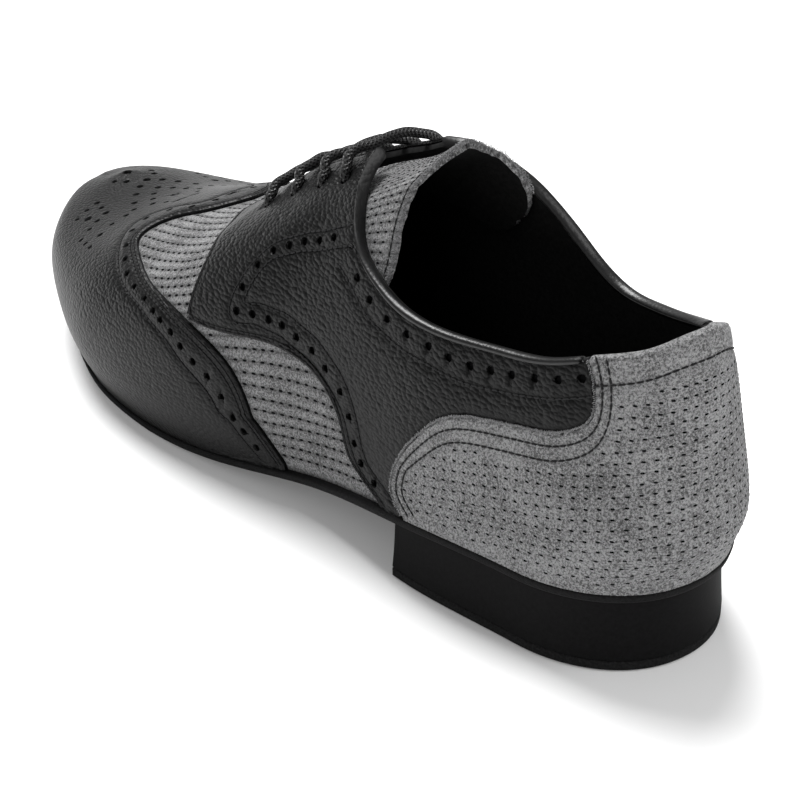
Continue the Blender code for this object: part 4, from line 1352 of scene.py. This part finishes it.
def edge_outline(place, side, margin):
    """Point on the upper's lower edge, moved outward in plan by a margin."""
    turn = float(np.arccos(1 - 2 * place) / np.pi)
    small = 1e-3

    def at(u):
        flip = side if 0 <= u <= 1 else -side
        u = -u if u < 0 else (2 - u if u > 1 else u)
        return last_point((1 - np.cos(np.pi * u)) / 2, 0, flip)
    way = at(turn + small) - at(turn - small)
    normal = np.array([way[1], -way[0], 0])
    normal *= -side / np.linalg.norm(normal)
    return at(turn) + normal * margin


def insole_top(place):
    return float(edge_height(place)) + INSOLE_THICK


def sole_top(place):
    return float(edge_height(place)) - EDGE_DROP


def sole_bottom(place):
    return max(0.0, float(edge_height(place)) - GAP - SOLE_THICK)


HEEL_END = float(np.interp(HEEL_LENGTH, LENGTH / 2 - last_point(FINE, 0, 1)[:, 1], FINE))
SOLE_PLACES = spread(97)
HEEL_PLACES = HEEL_END * (1 - np.cos(np.pi / 2 * np.linspace(0, 1, 40)))
INSOLE_MARGIN = -(OVERLAY + WALL + 3 * GAP)
INSOLE_EASE = 0.0009      # how far the rim of a flat face is eased
SOLE_EASE = 0.0006
PLATE_EASE = 0.0004
MID_EASE = 0.3            # share of that in the middle of the eased rim
HEEL_HOLLOW = 0.0002      # how far the heel's wall is drawn in half way down


def skin_frame(place, climb, side):
    """Point, outward direction and way up the skin at a place on it."""
    small = 1e-4
    at = last_point(place, climb, side)
    up = last_point(place, climb + small, side) - last_point(place, climb - small, side)
    along = last_point(place + small, climb, side) - last_point(place - small, climb, side)
    out = unit(np.cross(along, up))
    return at, (-out if out[2] < 0 else out), unit(up)


LACE_BEND = 1.6           # radius of the lace's turn at an eyelet, in lace radii
LACE_THICKER = 1.12       # the dressed cord, in lace radii
LACE_END = OVERLAY + WALL * 0.9  # depth of the lace's ends under the skin
LACE_START = LACE_RADIUS * 0.3   # depth from which it rises out of the eyelet
LACE_INSET = 0.001        # from the top of its turn to the first point of the bar
LACE_UPRIGHT = 0.008      # within this of the middle the bar stands straight up
OVER_FACING = 0.8         # share of the throat's half width beyond which it lies on a facing
TOP_CLIMB = 0.985         # climb up to which the skin's direction is sure


def lace_path(number):
    """One bar: up out of an eyelet, over the throat and down into the one across from it."""
    place = EYELETS["place"][number]
    bend = LACE_RADIUS * LACE_BEND
    ends = []
    for side in (LEFT, RIGHT):
        at, out, up = skin_frame(place, HOLES[number, side], side)
        run = [at - out * LACE_END, at - out * LACE_START]
        for angle in (0, 30, 60, 90):
            a = math.radians(angle)
            run.append(at + up * bend * (1 - math.cos(a)) + out * bend * math.sin(a))
        ends.append((run, side * (at[0] + MIDDLE) - bend - LACE_INSET))
    (left, start), (right, finish) = ends
    top = LACE_ARCH * EYELETS["arch"][number]
    middle = []
    for x in np.linspace(start, -finish, 9):
        side = LEFT if x > 0 else RIGHT
        climb = float(climb_at_width(place, abs(x), side))
        _, out, _ = skin_frame(place, min(climb, TOP_CLIMB), side)
        out = unit(out * np.array([min(1, abs(x) / LACE_UPRIGHT), 1, 1]))
        at = last_point(place, climb, side)
        share = (x / (start if x > 0 else finish)) ** 2
        spot = flat(place, climb, side)[None]
        lift = float(standing(spot)[0]) if abs(x) > THROAT_HALF * OVER_FACING else 0
        middle.append(at + out * (bend + max(top * (1 - share), lift)))
    return left + middle + right[::-1]


def sweep(name, path, sections, looks, uv=None):
    """Closed tube from a ring of points at each place of a path."""
    count = len(sections[0])
    points = np.concatenate([[path[0]], *sections, [path[-1]]])
    faces = []
    last = len(points) - 1
    for k in range(len(sections) - 1):
        for j in range(count):
            a = 1 + k * count + j
            b = 1 + k * count + (j + 1) % count
            faces.append((a, b, b + count, a + count))
    for j in range(count):
        faces.append((0, 1 + (j + 1) % count, 1 + j))
        faces.append((last, last - count + j, last - count + (j + 1) % count))
    return to_object(name, points, faces, looks, uv=uv)


AROUND = np.linspace(0, 2 * np.pi, 16, endpoint=False)
CORD_STEP = 0.3           # spacing of the points along a cord, in its radius


def braid(name, path, radius, plait, look):
    """Braided cord along a path, with its strands numbered round and along it."""
    path = np.asarray(path, float)
    along = running(path)
    run = np.arange(0, along[-1], radius * CORD_STEP)
    dense = np.stack([curve(along, path[:, k])(run) for k in range(3)], -1)
    way = unit(np.gradient(dense, axis=0))
    across = np.cross(way[0], (0, 1, 0))
    sections = []
    strands = [(0, 0)]
    for centre, t, s in zip(dense, way, run):
        across = unit(across - t * (across @ t))
        other = np.cross(t, across)
        sections.append(centre + radius * (np.cos(AROUND)[:, None] * across
                                           + np.sin(AROUND)[:, None] * other))
        strands += [(j / len(AROUND), s / plait) for j in range(len(AROUND))]
    strands.append((0, run[-1] / plait))
    return sweep(name, dense, sections, [look], np.array(strands))


def bead(kind, name, line, look, meets=False):
    """Rolled edge along a line of the flat pattern. One that meets its twin starts full."""
    side = SIDES[name]
    tall, wide, depth = ROLLED[kind]
    line = smooth_line(line, LINE_STEP)
    at, out, along = lay(line)
    at = at + out * foldings(line)[:, None]
    down = np.cross(out, along) * side
    probe = lay(line + [[0, side * 1e-4]])[0] - lay(line)[0]
    down *= np.sign((down * probe).sum(1))[:, None]
    sections = []
    centres = []
    run = running(at)
    for k, here in enumerate(run):
        end = run[-1] - here if meets else min(here, run[-1] - here)
        close = max(math.sqrt(1 - (1 - min(end / wide, 1)) ** 2), ROLL_TIP)
        wave = sum((high * math.sin(here / length) for high, length in ROLL_WAVES), 1)
        centre = at[k] + down[k] * wide * .5 + out[k] * depth
        centres.append(centre)
        sections.append(centre + close * wave * (tall * np.sin(AROUND)[:, None] * out[k]
                                                 + wide * np.cos(AROUND)[:, None] * down[k]))
    return sweep("%s_%s" % (kind, name), np.array(centres), sections, [look])


def stitch_lines(names, heights):
    """Points, edges and outward directions of the stitch lines of some pieces."""
    points, edges, outs = [], [], []
    for name in names:
        for line in SEWING[name]:
            fine = smooth_line(line, LINE_STEP)
            at, out, _ = lay(fine)
            sag = tongue_sag(fine) if name == "tongue" else 0
            start = len(points)
            lift = foldings(fine, name != "tongue")
            points += list(at + out * (heights[name] + lift - sag)[:, None])
            outs += list(out)
            edges += [(start + i, start + i + 1) for i in range(len(fine) - 1)]
    return points, edges, {"out": outs}


def tongue_sag(points):
    """How far the free end of the tongue dips under the line of the instep."""
    place, climb, _ = folded(points)
    dip = (np.clip((SAG_PLACE - place) / SAG_LENGTH, 0, 1) ** 2
           * np.clip((climb - SAG_CLIMB) / SAG_WIDTH, 0, 1))
    return TONGUE_SAG * dip * (2 - dip)


def loose_fibres(line, way, height, chance):
    """Middles, directions and outward directions of the fibres along a raw suede edge."""
    fine = smooth_line(line, FIBRE_PITCH)
    base, out, along = lay(fine)
    away = unit(lay(shifted(fine, way * 1e-4))[0] - base)
    points = []
    ways = []
    for low in FIBRE_LEVELS:
        beside, lift, lean, turn = chance.uniform(-1, 1, (4, len(fine)))
        high = height + low + lift * FIBRE_LIFT
        points.append(base + away * (beside * FIBRE_SPREAD)[:, None] + out * high[:, None])
        ways.append(away + out * (lean * FIBRE_LEAN)[:, None]
                    + along * (turn * FIBRE_TURN)[:, None])
    return np.concatenate(points), np.concatenate(ways), np.concatenate([out] * len(points))


def pinhole_points(kind):
    """Places of the pinholes of one suede piece on the flat pattern."""
    columns = np.arange(0, int(FINE_ARC[-1] / HOLE_PITCH)) * HOLE_PITCH
    pitch = PINHOLES[kind]["pitch"]
    points = []
    for side in SIDES.values():
        if kind == "counter":
            for x in columns[columns < COUNTER_LENGTH]:
                place = float(np.interp(x, FINE_ARC, FINE))
                rows = np.arange(1, COUNTER_ROWS) * pitch - heel_slope(np.array(x))
                low = float(edge_height(place))
                climb = np.where(rows < low + BULGE_HEIGHT, (rows - low) / BULGE_HEIGHT * WIDEST,
                                 climb_at_height(place, rows))
                good = (rows > low + COUNTER_FOOT) & (climb < COUNTER_TOP)
                points += [flat(place, c, side) for c in climb[good]]
        else:
            rows = np.arange(1, int(GIRTH_RUN[-1] / pitch) + 1) * pitch
            for climb in np.interp(rows, GIRTH_RUN, GIRTH):
                points += [(x, side * (1 - climb) * FLAT_HEIGHT) for x in columns]
    points = np.array(points)
    if kind == "counter":
        points = points[(points[:, 0] > 0) | (points[:, 1] > 0)]
        good = inside(points, BEHIND) & ~inside(points, OPENING_LOOP)
        lines = [*COUNTER.values(), *TOP.values()]
    elif kind == "tongue":
        good = inside(points, TONGUE) & inside(points, OPENING_LOOP)
        lines = [TONGUE]
    else:
        good = ~inside(points, TOE_LOOP) & ~inside(points, BEHIND) & ~inside(points, OPENING_LOOP)
        for side in SIDES.values():
            good &= ~inside(points, quarter_loop(side))
        good &= np.abs(points[:, 1]) < FLAT_HEIGHT * VAMP_SHARE
        lines = [WING, *LOWER.values(), *FRONT.values(), *COUNTER.values(), *EDGE.values()]
    points = points[good]
    near = np.min([distance(points, line) for line in lines], axis=0)
    return points[near > PINHOLES[kind]["clear"]]


# Sizes and colours that a user would change

class ShoeLooks(bpy.types.PropertyGroup):
    """Colours and finish of the leathers."""
    leather: FloatVectorProperty(name="Leather", description="Colour of the black leather",
                                 subtype="COLOR", size=3, min=0, max=1,
                                 default=(.0026, .0026, .0027))
    suede: FloatVectorProperty(name="Suede", description="Colour of the grey suede",
                               subtype="COLOR", size=3, min=0, max=1, default=(.250, .250, .253))
    lining: FloatVectorProperty(name="Lining", description="Colour of the lining",
                                subtype="COLOR", size=3, min=0, max=1, default=(.009, .009, .009))
    grain: FloatProperty(name="Grain", description="Size of the leather's pebbles",
                         unit="LENGTH", default=.00088, min=.0005, max=.004)
    leather_roughness: FloatProperty(name="Leather roughness", description="Gloss of the leather",
                                     subtype="FACTOR", default=.38, min=0, max=1)


class ShoeDetail(bpy.types.PropertyGroup):
    """Sizes of the sewing, the punching and the lace."""
    stitch_pitch: FloatProperty(name="Stitch pitch", description="From one stitch to the next",
                                unit="LENGTH", default=.0021, min=.001, max=.006)
    stitch_length: FloatProperty(name="Stitch length", description="Half length of a stitch",
                                 unit="LENGTH", default=.00112, min=.0003, max=.003)
    thread_radius: FloatProperty(name="Thread radius", description="Half thickness of the thread",
                                 unit="LENGTH", default=.00030, min=.0001, max=.001)
    pinhole_length: FloatProperty(name="Pinhole length", description="Half length of a pinhole",
                                  unit="LENGTH", default=.00062, min=.0002, max=.002)
    pinhole_width: FloatProperty(name="Pinhole width", description="Half width of a pinhole",
                                 unit="LENGTH", default=.00030, min=.0001, max=.002)
    fibre_length: FloatProperty(name="Fibre length", description="Half length of a loose fibre",
                                unit="LENGTH", default=.00042, min=.0001, max=.002)
    lace_plait: FloatProperty(name="Lace plait", description="Length of one turn of a strand",
                              unit="LENGTH", default=.0013, min=.001, max=.02)
    groove: FloatProperty(name="Stitch groove", description="Depth that the thread pulls in",
                          unit="LENGTH", default=.00045, min=0, max=.001)


def pulled(name):
    """Grooves of the stitch lines of one piece, as leather() takes them."""
    depth = bpy.context.scene.shoe_detail.groove
    return [(line, depth, GROOVE_WIDTH) for line in SEWING[name]]


class SHOE_OT_upper(bpy.types.Operator):
    """Build the lined grey upper that runs round the whole foot"""
    bl_idname = "shoe.upper"
    bl_label = "Upper"

    def execute(self, context):
        hidden = IN_WING | IN_COUNTER | QUARTER_LEFT | QUARTER_RIGHT
        chosen = ~OPENING & ~EYELET_HOLE
        # faces under the overlays take the near-black painted shade, seen in the punched holes
        piece = leather("upper_leather", chosen, UPPER_FACE, UPPER_LINING,
                        [LOOKS["ribbed"], LOOKS["lining"], LOOKS["pit"]], edge=.0004,
                        covered=np.where(hidden, 2, 0), wall=1)
        finish_piece(piece, ("upper",))
        return {"FINISHED"}


class SHOE_OT_wing_cap(bpy.types.Operator):
    """Build the punched wing cap over the toe"""
    bl_idname = "shoe.wing_cap"
    bl_label = "Wing cap"

    def execute(self, context):
        piece = leather("wing_cap_leather", IN_WING & ~WING_HOLE, 0.0, -OVERLAY,
                        [LOOKS["cap"], LOOKS["pit"]], grooves=pulled("wing"), edge=.0005,
                        fray=FRAY_LEATHER, seed=3)
        finish_piece(piece, ("wing_cap",))
        return {"FINISHED"}


class SHOE_OT_quarters(bpy.types.Operator):
    """Build the black quarters with their punched rows and facings"""
    bl_idname = "shoe.quarters"
    bl_label = "Quarters"

    def execute(self, context):
        for name, chosen in (("left", QUARTER_LEFT), ("right", QUARTER_RIGHT)):
            piece = leather("quarter_%s_leather" % name, chosen & ~QUARTER_HOLE, 0.0, -OVERLAY,
                            [LOOKS["leather"], LOOKS["pit"]], grooves=pulled("quarter_" + name),
                            trim=SEAM_TRIM, fray=FRAY_LEATHER, seed=4)
            finish_piece(piece, ("quarter_" + name,))
        return {"FINISHED"}


class SHOE_OT_heel_counter(bpy.types.Operator):
    """Build the punched suede counter round the heel, and its rolled top edge"""
    bl_idname = "shoe.heel_counter"
    bl_label = "Heel counter"

    def execute(self, context):
        piece = leather("heel_counter_leather", IN_COUNTER, COUNTER_STEP, -OVERLAY,
                        [LOOKS["suede"], LOOKS["pit"]], kind="counter", edge=.0006,
                        grooves=pulled("counter"), trim=SEAM_TRIM, fray=FRAY_SUEDE, seed=5)
        finish_piece(piece, ("heel_counter",))
        for name, side in SIDES.items():
            line = TOP[side][inside(TOP[side] + [[0, side * 1e-4]], BEHIND)]
            finish_piece(bead("counter_edge", name, line, LOOKS["suede"], meets=True), ())
        return {"FINISHED"}


class SHOE_OT_collar(bpy.types.Operator):
    """Build the rolled black binding along the collar"""
    bl_idname = "shoe.collar"
    bl_label = "Collar binding"

    def execute(self, context):
        for name, side in SIDES.items():
            line = TOP[side][~inside(TOP[side] + [[0, side * 1e-4]], BEHIND)]
            finish_piece(bead("collar_binding", name, line, LOOKS["binding"]),
                         ("collar_bead_" + name,))
        return {"FINISHED"}


class SHOE_OT_tongue(bpy.types.Operator):
    """Build the punched suede tongue"""
    bl_idname = "shoe.tongue"
    bl_label = "Tongue"

    def execute(self, context):
        sag = tongue_sag(FLAT)
        piece = leather("tongue_leather", IN_TONGUE, TONGUE_FACE - sag,
                        TONGUE_FACE - TONGUE_THICK - sag, [LOOKS["ribbed"], LOOKS["lining"]],
                        kind="tongue", edge=.0007, grooves=pulled("tongue"), fray=FRAY_SUEDE, seed=6)
        finish_piece(piece, ("tongue",))
        return {"FINISHED"}


class SHOE_OT_sole(bpy.types.Operator):
    """Build the insole and the thin outsole"""
    bl_idname = "shoe.sole"
    bl_label = "Sole"

    def execute(self, context):
        soft = INSOLE_EASE
        insole = [(insole_top, INSOLE_MARGIN - soft),
                  (lambda p: insole_top(p) - soft * MID_EASE, INSOLE_MARGIN - soft * MID_EASE),
                  (lambda p: insole_top(p) - soft, INSOLE_MARGIN),
                  (lambda p: float(edge_height(p)), INSOLE_MARGIN)]
        finish_piece(ring_solid("insole_pad", SOLE_PLACES, insole, [LOOKS["lining"]]),
                     ("insole",))
        ease = SOLE_EASE
        outsole = [(sole_top, SOLE_MARGIN - ease),
                   (lambda p: sole_top(p) - ease * MID_EASE, SOLE_MARGIN - ease * MID_EASE),
                   (lambda p: sole_top(p) - ease, SOLE_MARGIN),
                   (lambda p: sole_bottom(p) + ease, SOLE_MARGIN * .5),
                   (lambda p: sole_bottom(p) + ease * MID_EASE,
                    SOLE_MARGIN * .4 - ease * MID_EASE),
                   (sole_bottom, SOLE_MARGIN * .4 - ease)]
        piece = ring_solid("outsole_edge", SOLE_PLACES, outsole, [LOOKS["edge"], LOOKS["sole"]])
        for face in piece.data.polygons:
            if face.normal.z < -.8:
                face.material_index = 1
        finish_piece(piece, ("outsole",))
        return {"FINISHED"}


class SHOE_OT_heel(bpy.types.Operator):
    """Build the covered heel block and the plate that it stands on"""
    bl_idname = "shoe.heel"
    bl_label = "Heel"

    def execute(self, context):
        layers = []
        for share in np.linspace(0, 1, 9):
            drawn_in = HEEL_HOLLOW * math.sin(math.pi * share)
            margin = -HEEL_STEP + (HEEL_STEP - HEEL_TAPER) * share - drawn_in

            def height(p, share=share):
                top = sole_bottom(p) - GAP
                return top + (TOP_PIECE_THICK + GAP - top) * share
            layers.append((height, margin))
        finish_piece(ring_solid("heel_block", HEEL_PLACES, layers, [LOOKS["heel"]]),
                     ("heel",))
        plate = [(lambda p: TOP_PIECE_THICK, -HEEL_TAPER - PLATE_EASE),
                 (lambda p: TOP_PIECE_THICK - PLATE_EASE, -HEEL_TAPER),
                 (lambda p: PLATE_EASE, -HEEL_TAPER),
                 (lambda p: 0.0, -HEEL_TAPER - PLATE_EASE)]
        finish_piece(ring_solid("heel_plate", HEEL_PLACES, plate, [LOOKS["sole"]]),
                     ("top_piece",))
        return {"FINISHED"}


class SHOE_OT_lace(bpy.types.Operator):
    """Build the four bars of the braided lace"""
    bl_idname = "shoe.lace"
    bl_label = "Lace"

    def execute(self, context):
        for number in range(len(EYELETS["place"])):
            piece = braid("lace_cord_%d" % (number + 1), lace_path(number),
                          LACE_RADIUS * LACE_THICKER, context.scene.shoe_detail.lace_plait,
                          LOOKS["cord"])
            finish_piece(piece, ("lace_bar_%d" % (number + 1),))
        return {"FINISHED"}


class SHOE_OT_stitches(bpy.types.Operator):
    """Sew every seam with a line of stitches"""
    bl_idname = "shoe.stitches"
    bl_label = "Stitches"

    def execute(self, context):
        detail = context.scene.shoe_detail
        tree = stitch_tree()
        values = {"Pitch": detail.stitch_pitch, "Length": detail.stitch_length,
                  "Width": detail.thread_radius, "Height": detail.thread_radius,
                  "Material": LOOKS["thread"]}
        sunk = detail.thread_radius * STITCH_SINK - detail.groove
        face = {"wing": sunk, "quarter_left": sunk, "quarter_right": sunk,
                "counter": COUNTER_STEP + sunk, "tongue": TONGUE_FACE + sunk}
        for name, pieces in (("wing_stitches", ("wing",)),
                             ("quarter_stitches", ("quarter_left", "quarter_right")),
                             ("counter_stitches", ("counter",)),
                             ("tongue_stitches", ("tongue",))):
            points, edges, vectors = stitch_lines(pieces, face)
            finish_piece(grown(name, points, edges, vectors, tree, values), ())
        return {"FINISHED"}


class SHOE_OT_pinholes(bpy.types.Operator):
    """Set near-black beads of painted shade along the rows of pinholes in the suede"""
    bl_idname = "shoe.pinholes"
    bl_label = "Pinholes"

    def execute(self, context):
        detail = context.scene.shoe_detail
        tree = pinhole_tree()
        for kind, depth in (("vamp", UPPER_FACE), ("counter", COUNTER_STEP),
                            ("tongue", TONGUE_FACE)):
            size = PINHOLES[kind]["size"]
            values = {"Length": detail.pinhole_length * size,
                      "Width": detail.pinhole_width * size, "Height": PIT_DEPTH,
                      "Material": LOOKS["pit"]}
            flat_points = pinhole_points(kind)
            at, out, along = lay(flat_points)
            lift = depth + foldings(flat_points, kind != "tongue")
            if kind == "tongue":
                lift = lift - tongue_sag(flat_points)
            points = at + out * lift[:, None]
            finish_piece(grown(kind + "_pinholes", points, [], {"out": out, "along": along},
                               tree, values), ())
        return {"FINISHED"}


class SHOE_OT_raw_edges(bpy.types.Operator):
    """Grow the loose fibres along the raw edges of the counter and the tongue"""
    bl_idname = "shoe.raw_edges"
    bl_label = "Raw edges"

    def execute(self, context):
        detail = context.scene.shoe_detail
        thick = detail.fibre_length * FIBRE_WIDTH
        values = {"Length": detail.fibre_length, "Width": thick, "Height": thick,
                  "Material": LOOKS["fibre"]}
        tree = pinhole_tree()
        chance = np.random.default_rng(7)
        edges = {"counter_fibres": [(line, side, COUNTER_STEP) for side in SIDES.values()
                                    for line in runs(COUNTER[side],
                                                     ~inside(COUNTER[side], OPENING_LOOP))],
                 "tongue_fibres": [(line, -1, TONGUE_FACE)
                                   for line in runs(TONGUE, inside(TONGUE, OPENING_LOOP))]}
        for name, lines in edges.items():
            found = []
            for line, way, height in lines:
                if name == "tongue_fibres":
                    height = height - tongue_sag(smooth_line(line, FIBRE_PITCH))
                found.append(loose_fibres(line, way, height, chance))
            points, ways, outs = (np.concatenate(part) for part in zip(*found))
            finish_piece(grown(name, points, [], {"out": outs, "along": ways}, tree, values), ())
        return {"FINISHED"}


# Each light: kind, place, size (of the sun its angle) and power
LIGHTS = {
    "key":  ("SUN", (-.25, -.75, 1.35), .56, 5.2),
    "fill": ("AREA", (1.3, .5, 1.1), 1.2, 2.5),
    "rim":  ("AREA", (-.6, 1.0, 1.2), .8, 9),
}
SKY_LIGHT = 0.35
FLOOR_REACH = 40          # half the floor's width
FLOOR_DROP = 0.0002       # how far it lies under the shoe
FLOOR_GREY = 0.86
FLOOR_GLOW = 0.10

# Camera, fitted to the photo: degrees round from in front of the toe, up and rolled, its
# distance from the point that it looks at, and its focal length in widths of the image
CAMERA_TURN = 142.02
CAMERA_RISE = 31.9
CAMERA_ROLL = -0.46
CAMERA_DISTANCE = 0.61497
CAMERA_FOCAL = 2036.2 / 800
AIM_ACROSS = -0.0157
AIM_HEIGHT = 0.00298
SENSOR = 36               # width of the sensor in mm


class SHOE_OT_stage(bpy.types.Operator):
    """Set the pale floor, the soft lights and the camera"""
    bl_idname = "shoe.stage"
    bl_label = "Stage"

    def execute(self, context):
        scene = context.scene
        scene.view_settings.view_transform = "Standard"
        mesh = bpy.data.meshes.new("floor")
        work = bmesh.new()
        bmesh.ops.create_grid(work, x_segments=8, y_segments=8, size=FLOOR_REACH)
        work.to_mesh(mesh)
        work.free()
        mesh.transform(Matrix.Translation((0, 0, -FLOOR_DROP)))
        floor = bpy.data.objects.new("floor", mesh)
        scene.collection.objects.link(floor)
        pale = soft_look("pale floor", (FLOOR_GREY,) * 3, 3, .0001, .9, .005, .1)
        shader = pale.node_tree.nodes["Principled BSDF"]
        shader.inputs["Emission Color"].default_value = (1, 1, 1, 1)
        shader.inputs["Emission Strength"].default_value = FLOOR_GLOW
        mesh.materials.append(pale)
        world = bpy.data.worlds.new("studio")
        scene.world = world
        world.use_nodes = True
        sky = world.node_tree.nodes["Background"]
        sky.inputs["Color"].default_value = (1, 1, 1, 1)
        sky.inputs["Strength"].default_value = SKY_LIGHT
        for name, (kind, place, size, power) in LIGHTS.items():
            lamp = bpy.data.lights.new(name, kind)
            if kind == "SUN":
                lamp.angle = size
            else:
                lamp.size = size
            lamp.energy = power
            light = bpy.data.objects.new(name, lamp)
            light.location = place
            light.rotation_euler = Vector(place).to_track_quat("Z", "Y").to_euler()
            scene.collection.objects.link(light)
        turn, rise, roll = map(math.radians, (CAMERA_TURN, CAMERA_RISE, CAMERA_ROLL))
        back = Vector((math.sin(turn) * math.cos(rise), -math.cos(turn) * math.cos(rise),
                       math.sin(rise)))
        right = Vector((math.cos(turn), math.sin(turn), 0))
        up = back.cross(right)
        across = right * math.cos(roll) + up * math.sin(roll)
        upward = up * math.cos(roll) - right * math.sin(roll)
        lens = bpy.data.cameras.new("camera")
        lens.sensor_width = SENSOR
        lens.lens = SENSOR * CAMERA_FOCAL
        camera = bpy.data.objects.new("camera", lens)
        aim = Vector((AIM_ACROSS - MIDDLE, 0, AIM_HEIGHT))
        turned = Matrix((across, upward, back)).transposed().to_4x4()
        camera.matrix_world = Matrix.Translation(aim + back * CAMERA_DISTANCE) @ turned
        scene.collection.objects.link(camera)
        scene.camera = camera
        return {"FINISHED"}


PIECES = (SHOE_OT_upper, SHOE_OT_wing_cap, SHOE_OT_quarters, SHOE_OT_heel_counter,
          SHOE_OT_collar, SHOE_OT_tongue, SHOE_OT_sole, SHOE_OT_heel, SHOE_OT_lace,
          SHOE_OT_stitches, SHOE_OT_pinholes, SHOE_OT_raw_edges, SHOE_OT_stage)


class SHOE_PT_panel(bpy.types.Panel):
    """The pieces of the shoe, in the order in which they are built"""
    bl_label = "Ballroom dance shoe"
    bl_idname = "SHOE_PT_panel"
    bl_space_type = "VIEW_3D"
    bl_region_type = "UI"
    bl_category = "Shoe"

    def draw(self, context):
        for group in (context.scene.shoe_looks, context.scene.shoe_detail):
            for name in group.__annotations__:
                self.layout.prop(group, name)
        for piece in PIECES:
            self.layout.operator(piece.bl_idname)


CLASSES = (ShoeLooks, ShoeDetail, *PIECES, SHOE_PT_panel)


def register():
    for cls in CLASSES:
        bpy.utils.register_class(cls)
    bpy.types.Scene.shoe_looks = PointerProperty(type=ShoeLooks)
    bpy.types.Scene.shoe_detail = PointerProperty(type=ShoeDetail)


def unregister():
    del bpy.types.Scene.shoe_detail
    del bpy.types.Scene.shoe_looks
    for cls in reversed(CLASSES):
        bpy.utils.unregister_class(cls)


def main():
    """Build every piece."""
    register()
    make_looks()
    for piece in PIECES:
        getattr(bpy.ops.shoe, piece.bl_idname.split(".")[1])()


if __name__ == "__main__":
    main()
